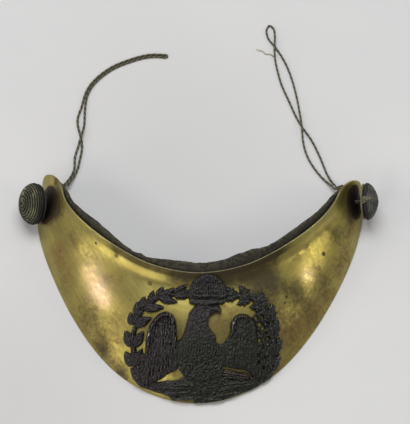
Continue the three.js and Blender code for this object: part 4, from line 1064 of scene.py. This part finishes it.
# Buttons and their ties
BUTTON_BACK = 0.8
BUTTON_GAP = 0.3
BUTTON_BAND = 0.6
BUTTON_KEYS = ("radius", "rise", "x", "y", "z", "lean", "turn", "rings", "point")
BUTTONS = {
    "left": (9.2, 6.6, -69.1, 86.8, 8.5, 29, 197, 10, 0.95),
    "right": (8.2, 5.7, 70.1, 90.2, 10.0, 13, -4, 12, 1.35),
}
TIE_RADIUS = 0.9
TIE_INSIDE = {
    "left": ((-61.0, 90.2, 4.4), (-60.6, 93.0, 4.0), (-60.3, 95.8, 3.9)),
    "right": ((61.2, 91.6, 8.2), (61.2, 94.6, 6.2), (61.6, 97.9, 4.3)),
}
TIE_FINE = 0.15
TIE_PITCH = 1.6
# Thread of a wound button: points round it and across one ring, how far its middle lies inside the
# dome, the angle where it ends at the top, and the length of a bead
WOUND_AROUND = 300
WOUND_ACROSS = 8
WOUND_SINK = 0.32
WOUND_END = 88
BEAD_LONG = 0.62
WOUND_SEEDS = {"left": 31, "right": 47}
# Rim of the thread turned under at the back: how far inside the edge, how far above the foot
WOUND_RIM = ((1.6, 0.15), (0.9, 0.0), (0.45, 0.3))
# Frilled edge of the flat back: points round it, height of the frill and their number
DISC_AROUND = 96
FRILL = 0.07
FRILLS = 34
# Where the checked seam of a wound button runs, as an angle round its axis
SEAM_TURN = 2.75

def button_frame(row):
    """The button's axis and two directions across it; the first of them lies level."""
    lean, turn = math.radians(row["lean"]), math.radians(row["turn"])
    axis = np.array([math.cos(lean) * math.cos(turn), math.cos(lean) * math.sin(turn), math.sin(lean)])
    level = np.cross([0, 0, 1.0], axis)
    level /= np.linalg.norm(level)
    return axis, level, np.cross(axis, level)


def button_centre(row):
    return np.array([row["x"], row["y"], row["z"]])


def turned_points(row, radius, height, angles):
    """A ring of points round the button's axis."""
    axis, level, over = button_frame(row)
    ring = np.cos(angles)[..., None] * level + np.sin(angles)[..., None] * over
    return button_centre(row) + np.asarray(radius)[..., None] * ring + np.asarray(height)[..., None] * axis


def wound_button(name, row, seed):
    """A dome wound with rings of thread, with its rim turned under at the back."""
    angles = 2 * np.pi * np.arange(WOUND_AROUND) / WOUND_AROUND
    foot = BUTTON_BACK + BUTTON_GAP
    count = row["rings"] * WOUND_ACROSS
    share = np.arange(count + 1) / count
    bend = np.radians(WOUND_END) * share
    radius = (row["radius"] - WOUND_SINK) * np.cos(bend) ** row["point"]
    height = foot + BUTTON_BAND + (row["rise"] - BUTTON_BAND - 0.25) * np.sin(bend)
    ring = share[:, None] * row["rings"] + 0.05 * value_noise(angles * 3, share[:, None] * 9 + seed, seed)
    lay = np.abs(np.sin(np.pi * ring))
    strand = np.floor(ring)
    slant = 2 * np.pi * (angles[None, :] * radius[:, None] / BEAD_LONG + ring * 1.5 + strand * 0.37)
    beads = 0.5 + 0.5 * np.cos(slant)
    rise = lay * (0.72 + 0.28 * beads)
    level = 0.27 * rise - 0.1 + 0.05 * value_noise(angles * 5 + 3, share[:, None] * 12 + seed, seed + 1)
    out_r = (radius[:, None] + level * np.cos(bend)[:, None]).clip(0.05)
    out_h = height[:, None] + level * np.sin(bend)[:, None]
    rows = []
    wind = []
    for inset, lift in WOUND_RIM:
        rim = np.full(WOUND_AROUND, row["radius"] - inset)
        rows.append(turned_points(row, rim, np.full(WOUND_AROUND, foot + lift), angles))
        wind.append(np.stack([np.full(WOUND_AROUND, -0.5), angles, np.full(WOUND_AROUND, 0.3)], -1))
    for i in range(count + 1):
        rows.append(turned_points(row, out_r[i], out_h[i], angles))
        wind.append(np.stack([ring[i], angles, rise[i]], -1))
    made = mesh_object(name, np.vstack(rows), ring_faces(len(rows), WOUND_AROUND))
    store(made, "wind", np.vstack(wind))
    return made


def button_disc(name, row):
    """The flat back of a button, with a frilled edge."""
    angles = 2 * np.pi * np.arange(DISC_AROUND) / DISC_AROUND
    wide = row["radius"] - 0.5
    profile = (
        (wide - 1.1, 0.12), (wide - 0.5, 0.0), (wide - 0.12, 0.12), (wide, 0.4), (wide - 0.1, 0.68),
        (wide - 0.4, BUTTON_BACK), (wide - 2.0, BUTTON_BACK),
    )
    rows = []
    for r, h in profile:
        frill = FRILL * np.cos(angles * FRILLS) * (r > wide - 0.3)
        rows.append(turned_points(row, r - FRILL + frill, np.full(DISC_AROUND, h), angles))
    return mesh_object(name, np.vstack(rows), ring_faces(len(rows), DISC_AROUND))


for side, values in BUTTONS.items():
    row = dict(zip(BUTTON_KEYS, values))
    button = wound_button(f"wound_button_{side}", row, WOUND_SEEDS[side])
    disc = button_disc(f"button_disc_{side}", row)
    axis = button_frame(row)[0]
    centre = button_centre(row)
    route = np.array([centre - 0.3 * axis, centre - 4 * axis, centre - 7 * axis, *TIE_INSIDE[side]])
    tie = twisted_tube(
        f"button_tie_{side}", centripetal(route, TIE_FINE), TIE_RADIUS * 0.88, TIE_PITCH,
        around=16, depth=0.2, plies=3,
    )
    for piece, node, slot in (
        (button, "button_", "button_cover"), (disc, "button_back_", "button_back"), (tie, "tie_", "cord"),
    ):
        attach(piece, "root")
        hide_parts(node + side)


# Where the plate's holes belong, for the ties of the buttons and for two pins. They aren't open, and
# the lining has none at all, so the ties cross both sheets.
tie_bars = []
for values in BUTTONS.values():
    row = dict(zip(BUTTON_KEYS, values))
    axis = button_frame(row)[0]
    centre = button_centre(row)
    tie_bars.append((centre - 1.0 * axis, centre - 10.0 * axis, TIE_HOLE))
pin_bars = []
for t_pin, v_pin in PIN_HOLES:
    out = surface_normal(t_pin, v_pin)
    pin_bars.append((surface(t_pin, v_pin) + 2 * out, surface(t_pin, v_pin) - 2 * out, PIN_HOLE))
bored(plate, tie_bars + pin_bars)


# Frayed ends: thin fibres, each a short table of places (x, y, z) in mm
FIBRE_RADIUS = 0.09
TUFT_RADIUS = 0.16
FIBRE_AROUND = 6
FIBRE_FINE = 0.35
FIBRE_PITCH = 9.0
TAIL_FIBRES = (
    ((24.0, 172.9, 0.9), (27.0, 172.1, 0.35), (28.2, 170.7, 0.12), (30.5, 170.4, 0.12), (33.1, 168.4, 0.15)),
    ((24.0, 173.0, 0.9), (26.9, 172.3, 0.4), (28.4, 171.0, 0.14), (30.1, 170.9, 0.3), (32.0, 169.8, 0.12)),
)
TUFT_FIBRES = (
    ((68.8, 88.3, 15.6), (69.3, 88.2, 17.6), (70.6, 88.0, 18.3), (72.3, 87.7, 17.9), (73.0, 87.6, 17.4)),
    ((68.7, 87.6, 15.4), (69.2, 87.5, 17.5), (70.6, 87.4, 18.3), (72.0, 87.2, 17.8)),
    ((68.8, 86.9, 15.2), (69.3, 86.8, 17.2), (70.6, 86.8, 18.1), (71.6, 86.8, 17.8)),
    ((68.6, 85.6, 14.8), (69.1, 85.7, 16.4), (69.9, 86.0, 17.4), (70.8, 86.3, 17.9)),
)


def fibres(name, tables, radius):
    """Thin threads in one mesh."""
    tubes = []
    faces = []
    start = 0
    for table in tables:
        line = centripetal(np.array(table, float), FIBRE_FINE)
        tube, _ = lobes_round(
            line, np.gradient(line, axis=0), [0.1, 0.2, 1.0], radius, FIBRE_PITCH, FIBRE_AROUND, 0.0, 2,
        )
        faces += [tuple(start + k for k in face) for face in ring_faces(len(line), FIBRE_AROUND)]
        tubes.append(tube)
        start += len(tube)
    made = mesh_object(name, np.vstack(tubes), faces)
    store(made, "twist", np.full(start, 0.7))
    return made


frayed_tail = fibres("frayed_tail", TAIL_FIBRES, FIBRE_RADIUS)
thread_tuft = fibres("thread_tuft", TUFT_FIBRES, TUFT_RADIUS)
for piece in (frayed_tail, thread_tuft):
    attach(piece, "root")


# Materials: a small kit that builds node trees by short calls, with places and sizes in millimetres
class Look:
    """A material and the calls that add nodes to it. A value is a number, a colour or a node's output."""

    def __init__(self, name):
        self.mat = bpy.data.materials.new(name)
        self.mat.use_nodes = True
        self.nodes = self.mat.node_tree.nodes
        self.shader = self.nodes["Principled BSDF"]
        coords = self.nodes.new("ShaderNodeTexCoord")
        self.place = self.vector("SCALE", coords.outputs["Object"], scale=1 / MM)

    def put(self, socket, value):
        if isinstance(value, bpy.types.NodeSocket):
            self.mat.node_tree.links.new(value, socket)
        elif value is not None:
            socket.default_value = value

    def vector(self, operation, a, b=None, scale=None):
        node = self.nodes.new("ShaderNodeVectorMath")
        node.operation = operation
        self.put(node.inputs[0], a)
        self.put(node.inputs[1], b)
        if scale is not None:
            self.put(node.inputs["Scale"], scale)
        return node.outputs["Value" if operation in ("DISTANCE", "LENGTH") else "Vector"]

    def math(self, operation, a, b=None):
        node = self.nodes.new("ShaderNodeMath")
        node.operation = operation
        self.put(node.inputs[0], a)
        self.put(node.inputs[1], b)
        return node.outputs[0]

    def times(self, a, b):
        return self.math("MULTIPLY", a, b)

    def noise(self, size, detail=3.0, rough=0.5, warp=0.0, place=None):
        node = self.nodes.new("ShaderNodeTexNoise")
        self.put(node.inputs["Vector"], place or self.place)
        self.put(node.inputs["Scale"], 1 / size)
        self.put(node.inputs["Detail"], detail)
        self.put(node.inputs["Roughness"], rough)
        self.put(node.inputs["Distortion"], warp)
        return node.outputs["Fac"]

    def remap(self, value, low, high, to_low=0.0, to_high=1.0):
        node = self.nodes.new("ShaderNodeMapRange")
        node.interpolation_type = "SMOOTHSTEP"
        for socket, number in zip(node.inputs, (value, low, high, to_low, to_high)):
            self.put(socket, number)
        return node.outputs["Result"]

    def mix(self, share, a, b):
        node = self.nodes.new("ShaderNodeMix")
        node.data_type = "RGBA"
        for socket, value in zip((node.inputs["Factor"], node.inputs[6], node.inputs[7]), (share, a, b)):
            self.put(socket, (*value, 1.0) if isinstance(value, tuple) else value)
        return node.outputs[2]

    def stored(self, name, kind="Fac"):
        node = self.nodes.new("ShaderNodeAttribute")
        node.attribute_name = name
        return node.outputs[kind]

    def split(self, vector):
        node = self.nodes.new("ShaderNodeSeparateXYZ")
        self.put(node.inputs[0], vector)
        return node.outputs

    def add_up(self, *values):
        total = values[0]
        for value in values[1:]:
            total = self.math("ADD", total, value)
        return total

    def spots(self, rows, ragged):
        """A mask of round spots. A row is a place (row frame, mm), a radius and an amount."""
        total = None
        for at, radius, amount in rows:
            far = self.vector("DISTANCE", self.place, tuple(float(c) for c in at))
            far = self.math("ADD", far, self.times(ragged, radius))
            mask = self.remap(far, 1.5 * radius, 1.05 * radius, 0.0, amount)
            total = mask if total is None else self.math("MAXIMUM", total, mask)
        return total

    def bump(self, height, distance, strength=1.0, under=None):
        node = self.nodes.new("ShaderNodeBump")
        self.put(node.inputs["Height"], height)
        self.put(node.inputs["Distance"], distance * MM)
        self.put(node.inputs["Strength"], strength)
        self.put(node.inputs["Normal"], under)
        return node.outputs["Normal"]

    def done(self, colour, rough, metal, normal=None):
        self.put(self.shader.inputs["Base Color"], colour)
        self.put(self.shader.inputs["Roughness"], rough)
        self.put(self.shader.inputs["Metallic"], metal)
        self.put(self.shader.inputs["Normal"], normal)
        return self.mat


def dress(obj, mat):
    obj.data.materials.clear()
    obj.data.materials.append(mat)


# Colours, as linear red, green and blue
BRASS_CLEAR = (0.40, 0.335, 0.095)
BRASS_HAZY = (0.26, 0.225, 0.078)
BRASS_WIPED_AND_HIGHLIGHT = (0.66, 0.53, 0.13)
BRASS_BROWN = (0.27, 0.17, 0.07)
BRASS_RUSTY = (0.26, 0.13, 0.06)
BRASS_TARNISH_AND_SHADE = (0.045, 0.036, 0.018)
BRASS_PINK_HIGHLIGHT = (0.85, 0.62, 0.44)
BRASS_SPECK = (0.13, 0.105, 0.05)
LIP_DARK_REFLECTION = (0.055, 0.043, 0.020)
FILLET_HIGHLIGHT = (0.62, 0.50, 0.14)
SPOT_DARK = (0.05, 0.035, 0.015)
NECK_RIM_HIGHLIGHT = (0.36, 0.34, 0.22)
OUTER_EDGE_HIGHLIGHT = (0.62, 0.58, 0.36)
SHADOW_TARNISH_DEEP = (0.010, 0.007, 0.004)
SHADOW_TARNISH_WARM = (0.050, 0.028, 0.012)
INSIDE_PALE = (0.26, 0.24, 0.12)
INSIDE_DARK = (0.16, 0.13, 0.08)
SILVER_GREEN = (0.034, 0.036, 0.031)
SILVER_PLUM = (0.037, 0.033, 0.034)
SILVER_RIDGE = (0.19, 0.18, 0.175)
SILVER_HOLLOW = (0.009, 0.008, 0.008)
SILVER_BRASSY = (0.2, 0.15, 0.07)
SILVER_WEAR_AND_GLINT = (0.55, 0.53, 0.50)
SILVER_RUST = (0.085, 0.045, 0.028)
LEATHER_DARK = (0.010, 0.010, 0.006)
LEATHER_PALE = (0.030, 0.028, 0.014)
LEATHER_FRAYED = (0.085, 0.072, 0.04)
RING_OUTER = (0.020, 0.018, 0.020)
SEAM_PALE = (0.30, 0.29, 0.19)
THREAD_BRIGHT = (0.42, 0.38, 0.22)
TABLE_LOW = (0.69, 0.69, 0.695)
TABLE_HIGH = (0.72, 0.72, 0.72)
TABLE_SHADOW_GREY = (0.56, 0.56, 0.562)
# Painted shadow on the table, between the cords and towards the front left: place in mm, reach, amount
TABLE_PAINTED_SHADOWS = (((-10.0, 75.0, 0.0), 110.0, 0.4), ((-75.0, -60.0, 0.0), 110.0, 0.5))
# Bands of the plate beside its neck edge, by the distance from the edge in mm: a painted dark reflection on
# the lip, and a painted highlight line on the fillet. The line runs at the left and at the right, as
# distances along the crescent.
LIP_BAND = (2.7, 1.7)
LIP_BAND_ENDS = (66.0, 52.0)
LINE_AT = 3.6
LINE_FADE = (2.0, 0.4)
LINE_LEFT = ((-72.0, -60.0), (-12.0, -26.0))
LINE_RIGHT = ((58.0, 72.0), (92.0, 80.0))


def brass_look():
    """Old gilt brass: hazy, stained, spotted, tarnished by the buttons, with painted shade, highlights and a
    dark lip reflection.
    """
    k = Look("tarnished_brass")
    along, across, neck = k.split(k.stored("sheet", "Vector"))[:3]
    tone = k.split(k.stored("stains_and_light", "Vector"))
    pink_highlight = k.stored("pink_highlight")
    inside = k.stored("inside")
    broad = k.noise(15.0, 4.0, 0.55, 0.5)
    blotch = k.noise(4.5, 5.0, 0.65, 0.6)
    mottle = k.noise(1.6, 5.0, 0.7)
    grain = k.noise(0.5, 3.0, 0.6)
    wiped_place = k.vector("MULTIPLY", k.stored("sheet", "Vector"), (0.07, 0.8, 0.0))
    wiped = k.noise(1.0, 4.0, 0.6, 0.3, wiped_place)
    uneven = k.times(k.math("SUBTRACT", k.add_up(blotch, mottle), 1.0), 1.6)

    def broken(amount, by=1.0):
        """A mark, stain and painted shade alike, with an uneven edge."""
        noisy = k.add_up(amount, k.times(uneven, by))
        return k.times(k.remap(noisy, 0.05, 0.9), k.remap(amount, 0.0, 0.2))

    haze = k.remap(k.add_up(broad, k.times(wiped, 0.6), k.times(mottle, 0.3)), 0.75, 1.2)
    colour = k.mix(haze, BRASS_CLEAR, BRASS_HAZY)
    # Wiped brass, and painted highlights where the lamps reflect on the flanks.
    colour = k.mix(k.times(tone[2], 0.9), colour, BRASS_WIPED_AND_HIGHLIGHT)
    brown = broken(tone[0])
    colour = k.mix(k.times(brown, 0.68), colour, BRASS_BROWN)
    rust = k.times(k.remap(blotch, 0.56, 0.72), k.remap(tone[0], 0.3, 0.9))
    colour = k.mix(k.times(rust, 0.55), colour, BRASS_RUSTY)
    # Black tarnish, and painted shade along the neck edge and round the highlights.
    dark = broken(tone[1], 0.25)
    colour = k.mix(k.times(dark, 0.9), colour, BRASS_TARNISH_AND_SHADE)
    # Painted pink tint of the flanks' highlights.
    colour = k.mix(k.times(pink_highlight, 0.75), colour, BRASS_PINK_HIGHLIGHT)
    specks = k.times(k.remap(grain, 0.60, 0.72), k.remap(blotch, 0.44, 0.62))
    colour = k.mix(k.times(specks, 0.45), colour, BRASS_SPECK)
    flank = k.math("ABSOLUTE", along)
    # Painted dark reflection on the lip along the neck edge.
    lip = k.times(k.remap(neck, *LIP_BAND), k.remap(flank, *LIP_BAND_ENDS))
    colour = k.mix(k.times(lip, 0.88), colour, LIP_DARK_REFLECTION)
    # Painted highlight line along the fillet below the lip.
    line = k.remap(k.math("ABSOLUTE", k.math("SUBTRACT", neck, LINE_AT)), *LINE_FADE)
    line = k.times(line, k.remap(k.add_up(mottle, k.times(broad, 0.8)), 0.6, 1.0, 0.55, 1.0))
    left_highlight = k.times(k.remap(along, *LINE_LEFT[0]), k.remap(along, *LINE_LEFT[1]))
    right_highlight = k.times(k.remap(along, *LINE_RIGHT[0]), k.remap(along, *LINE_RIGHT[1]))
    line = k.times(line, k.add_up(left_highlight, k.times(right_highlight, 0.9)))
    colour = k.mix(k.times(line, 0.5), colour, FILLET_HIGHLIGHT)
    rows = [(surface(t, v) + SHIFT, radius, amount) for t, v, radius, amount in SPOTS]
    spots = k.spots(rows, k.math("SUBTRACT", mottle, 0.5))
    # Dark spots. At the two pin holes they are painted shade standing in for the open holes.
    colour = k.mix(spots, colour, SPOT_DARK)
    # Painted highlight along the rim of the neck edge.
    worn = k.remap(k.add_up(neck, k.times(blotch, 0.5)), 0.65, 0.25)
    colour = k.mix(k.times(worn, 0.5), colour, NECK_RIM_HIGHLIGHT)
    # Painted highlight along the outer edge.
    edge = k.remap(k.add_up(across, k.times(mottle, 0.4)), 0.85, 0.35)
    colour = k.mix(k.times(edge, 0.5), colour, OUTER_EDGE_HIGHLIGHT)
    # Painted shadow and reflection of each button, with tarnish, blacken the brass under it.
    for at, radius in BUTTON_SHADOWS_AND_TARNISH:
        far = k.vector("DISTANCE", k.place, tuple(float(c) for c in at + SHIFT))
        far = k.add_up(far, k.times(mottle, 0.8))
        shade = k.remap(far, radius + 0.7, radius - 0.1)
        shadow_and_tarnish = k.mix(k.remap(far, radius - 3.0, radius + 0.3), SHADOW_TARNISH_DEEP, SHADOW_TARNISH_WARM)
        colour = k.mix(k.times(shade, 0.97), colour, shadow_and_tarnish)
        dark = k.math("MAXIMUM", dark, shade)
    dull = k.remap(k.add_up(blotch, mottle), 0.8, 1.25)
    under = k.mix(dull, INSIDE_PALE, INSIDE_DARK)
    colour = k.mix(inside, colour, under)
    rough = k.add_up(
        k.remap(mottle, 0.3, 0.7, 0.33, 0.43), k.times(haze, 0.05), k.times(dark, 0.16),
        k.times(spots, 0.3), k.times(brown, 0.08), k.times(inside, 0.1),
    )
    pits = k.bump(grain, 0.012, 0.6)
    wavy = k.bump(wiped, 0.05, 0.5, pits)
    normal = k.bump(k.times(spots, -1.0), 0.06, 0.8, wavy)
    metal = k.remap(k.math("MAXIMUM", spots, k.times(dark, 0.5)), 0.0, 1.0, 1.0, 0.35)
    return k.done(colour, rough, metal, normal)


def silver_look():
    """Blackened silver: dark in the hollows, worn and lighter on the ridges, with painted glints."""
    k = Look("blackened_silver")
    ridge = k.stored("ridge")
    warm = k.stored("warm")
    rusty = k.stored("rusty")
    broad = k.noise(6.0, 4.0, 0.6, 0.4)
    fine = k.noise(0.7, 4.0, 0.65)
    grain = k.noise(0.28, 2.0, 0.5)
    high = k.remap(k.add_up(ridge, k.times(k.math("SUBTRACT", fine, 0.5), 0.7)), 0.12, 0.5)
    low = k.remap(ridge, -0.05, -0.35)
    tint = k.remap(k.add_up(k.times(warm, 0.6), k.times(broad, 0.8)), 0.35, 0.75)
    colour = k.mix(tint, SILVER_GREEN, SILVER_PLUM)
    colour = k.mix(k.times(high, 0.66), colour, SILVER_RIDGE)
    colour = k.mix(k.times(low, 0.85), colour, SILVER_HOLLOW)
    brassy = k.times(k.remap(fine, 0.62, 0.75), k.remap(broad, 0.5, 0.6))
    colour = k.mix(k.times(brassy, 0.35), colour, SILVER_BRASSY)
    # Wear on the sharpest ridges, and painted glints.
    colour = k.mix(k.remap(ridge, 0.7, 1.4), colour, SILVER_WEAR_AND_GLINT)
    colour = k.mix(k.times(rusty, 0.8), colour, SILVER_RUST)
    rough = k.remap(k.add_up(fine, k.times(high, -0.3)), 0.1, 0.9, 0.36, 0.62)
    normal = k.bump(grain, 0.03, 0.7)
    return k.done(colour, rough, 0.85, normal)


def leather_look():
    """Dark leather with an uneven worn edge and a frayed cloth facing."""
    k = Look("worn_leather")
    broad = k.noise(7.0, 4.0, 0.6)
    grain = k.noise(0.7, 4.0, 0.6)
    edge = k.stored("edge")
    pale = k.remap(k.add_up(broad, k.times(grain, 0.4)), 0.62, 0.95)
    colour = k.mix(pale, LEATHER_DARK, LEATHER_PALE)
    frayed = k.times(edge, k.remap(k.noise(1.4, 4.0, 0.7), 0.42, 0.62))
    colour = k.mix(k.times(frayed, 0.7), colour, LEATHER_FRAYED)
    rough = k.remap(grain, 0.3, 0.7, 0.62, 0.85)
    cells = k.nodes.new("ShaderNodeTexVoronoi")
    cells.feature = "SMOOTH_F1"
    k.put(cells.inputs["Vector"], k.place)
    k.put(cells.inputs["Scale"], 1.6)
    normal = k.bump(cells.outputs["Distance"], 0.12, 0.5, k.bump(grain, 0.08, 0.5))
    return k.done(colour, rough, 0.0, normal)


def thread_look(name, light, dark, metal):
    """Twisted thread: two tones that follow the twist, as painted highlight on crests and shade in grooves.
    """
    k = Look(name)
    twist = k.stored("twist")
    speck = k.noise(0.8, 3.0, 0.6)
    fine = k.noise(0.25, 2.0, 0.6)
    # Painted highlight on the plies' crests and painted shade in the grooves between them.
    lit = k.remap(k.add_up(twist, k.times(k.math("SUBTRACT", speck, 0.5), 1.3)), 0.35, 0.8)
    colour = k.mix(lit, dark, light)
    rough = k.remap(fine, 0.3, 0.7, 0.5, 0.75)
    return k.done(colour, rough, metal, k.bump(fine, 0.04, 0.8))


def wound_look(name, light, dark, spots, seamed):
    """A button wound with thread: light threads over a dark body, with a checked seam."""
    k = Look(name)
    ring, turn, rise = k.split(k.stored("wind", "Vector"))[:3]
    speck = k.noise(0.9, 4.0, 0.65)
    fine = k.noise(0.28, 2.0, 0.6)
    broad = k.noise(4.5, 3.0, 0.5)
    top = k.remap(k.add_up(rise, k.times(k.math("SUBTRACT", speck, 0.5), 1.2)), 0.42, 0.8)
    outer = k.remap(ring, 3.2, 1.0)
    shade = k.times(k.remap(broad, 0.35, 0.65, 0.35, 1.0), k.remap(outer, 0.0, 1.0, 1.0, 0.3))
    colour = k.mix(k.times(top, shade), dark, light)
    colour = k.mix(k.times(outer, 0.5), colour, RING_OUTER)
    seam = k.remap(k.math("ABSOLUTE", k.math("SUBTRACT", turn, SEAM_TURN)), 0.16, 0.08)
    checks = k.math("PINGPONG", ring, 1.0)
    colour = k.mix(k.times(seam, k.remap(checks, 0.45, 0.65, 0.0, seamed)), colour, SEAM_PALE)
    bright = k.times(k.remap(speck, 0.64, 0.72), top)
    colour = k.mix(k.times(bright, spots), colour, THREAD_BRIGHT)
    rough = k.remap(fine, 0.3, 0.7, 0.6, 0.85)
    k.put(k.shader.inputs["Specular IOR Level"], 0.22)
    return k.done(colour, rough, 0.0, k.bump(fine, 0.05, 0.8))


def disc_look(name, pale, soiled):
    """The cloth-covered back of a button."""
    k = Look(name)
    weave = k.nodes.new("ShaderNodeTexWave")
    k.put(weave.inputs["Vector"], k.place)
    k.put(weave.inputs["Scale"], 1.1)
    k.put(weave.inputs["Distortion"], 2.0)
    soil = k.noise(2.2, 4.0, 0.6)
    colour = k.mix(k.remap(soil, 0.35, 0.65), pale, soiled)
    colour = k.mix(k.times(weave.outputs["Fac"], 0.35), colour, pale)
    return k.done(colour, k.remap(soil, 0.3, 0.7, 0.7, 0.9), 0.0, k.bump(weave.outputs["Fac"], 0.08, 0.7))


def table_look():
    """A pale matt table, a little uneven, with painted shadow."""
    k = Look("pale_table")
    soft = k.noise(90.0, 3.0, 0.5)
    colour = k.mix(k.remap(soft, 0.3, 0.7), TABLE_LOW, TABLE_HIGH)
    # Painted shadow, darker between the cords and towards the front left.
    for place, reach, amount in TABLE_PAINTED_SHADOWS:
        painted_shadow = k.remap(k.vector("DISTANCE", k.place, place), reach, 0.0, 0.0, amount)
        colour = k.mix(painted_shadow, colour, TABLE_SHADOW_GREY)
    return k.done(colour, 0.8, 0.0)


dress(plate, brass_look())
dress(lining, leather_look())
dress(emblem, silver_look())
cord_thread = thread_look("cord_thread", (0.145, 0.132, 0.078), (0.016, 0.016, 0.011), 0.25)
dark_thread = thread_look("dark_thread", (0.07, 0.062, 0.042), (0.012, 0.011, 0.009), 0.0)
pale_thread = thread_look("pale_thread", (0.34, 0.31, 0.2), (0.14, 0.12, 0.07), 0.0)
dress(frayed_tail, pale_thread)
dress(thread_tuft, pale_thread)
for side in ("left", "right"):
    dress(bpy.data.objects[f"neck_cord_{side}"], cord_thread)
    dress(bpy.data.objects[f"cord_knot_{side}"], cord_thread)
    dress(bpy.data.objects[f"button_tie_{side}"], dark_thread)
disc_looks = {
    "left": disc_look("dark_cloth", (0.035, 0.03, 0.02), (0.012, 0.011, 0.008)),
    "right": disc_look("pale_cloth", (0.26, 0.22, 0.15), (0.12, 0.10, 0.065)),
}
wound_looks = {
    "left": wound_look("wound_left", (0.18, 0.176, 0.100), (0.004, 0.004, 0.0035), 0.6, 1.0),
    "right": wound_look("wound_right", (0.21, 0.20, 0.175), (0.022, 0.022, 0.022), 1.0, 0.0),
}
for side in ("left", "right"):
    dress(bpy.data.objects[f"button_disc_{side}"], disc_looks[side])
    dress(bpy.data.objects[f"wound_button_{side}"], wound_looks[side])


# Table, lights and surroundings
TABLE_SIZE = 6.0
bpy.ops.mesh.primitive_plane_add(size=TABLE_SIZE, location=(0, 0, 0))
table = bpy.context.object
table.name = "table"
dress(table, table_look())


# Lamps: name, place in metres, width and height, power, colour. Each is turned to the gorget.
LAMPS = (
    ("lamp_left", (-1.4, -0.26, 0.95), (0.44, 0.4), 3.1, (1.0, 0.90, 0.84)),
    ("lamp_front_left", (-1.36, -0.76, 0.42), (0.5, 0.5), 3.4, (1.0, 0.95, 0.85)),
    ("lamp_front", (-0.72, -1.16, 1.02), (0.5, 0.36), 3.6, (1.0, 0.95, 0.85)),
    ("lamp_right", (1.45, -0.2, 0.80), (0.3, 0.34), 2.7, (1.0, 0.95, 0.78)),
    ("ceiling", (0.0, 0.9, 2.4), (2.4, 1.4), 44, (0.98, 0.99, 1.0)),
)
ROOM_GREY = (0.235, 0.235, 0.24, 1)
for name, place, size, power, colour in LAMPS:
    data = bpy.data.lights.new(name, "AREA")
    data.shape = "RECTANGLE"
    data.size, data.size_y = size
    data.energy = power
    data.color = colour
    lamp = bpy.data.objects.new(name, data)
    lamp.location = place
    lamp.rotation_euler = (-Vector(place)).to_track_quat("-Z", "Y").to_euler()
    bpy.context.scene.collection.objects.link(lamp)
world = bpy.data.worlds.new("room")
world.use_nodes = True
world.node_tree.nodes["Background"].inputs["Color"].default_value = ROOM_GREY
world.node_tree.nodes["Background"].inputs["Strength"].default_value = 1.0
bpy.context.scene.world = world
bpy.context.scene.view_settings.view_transform = "Standard"
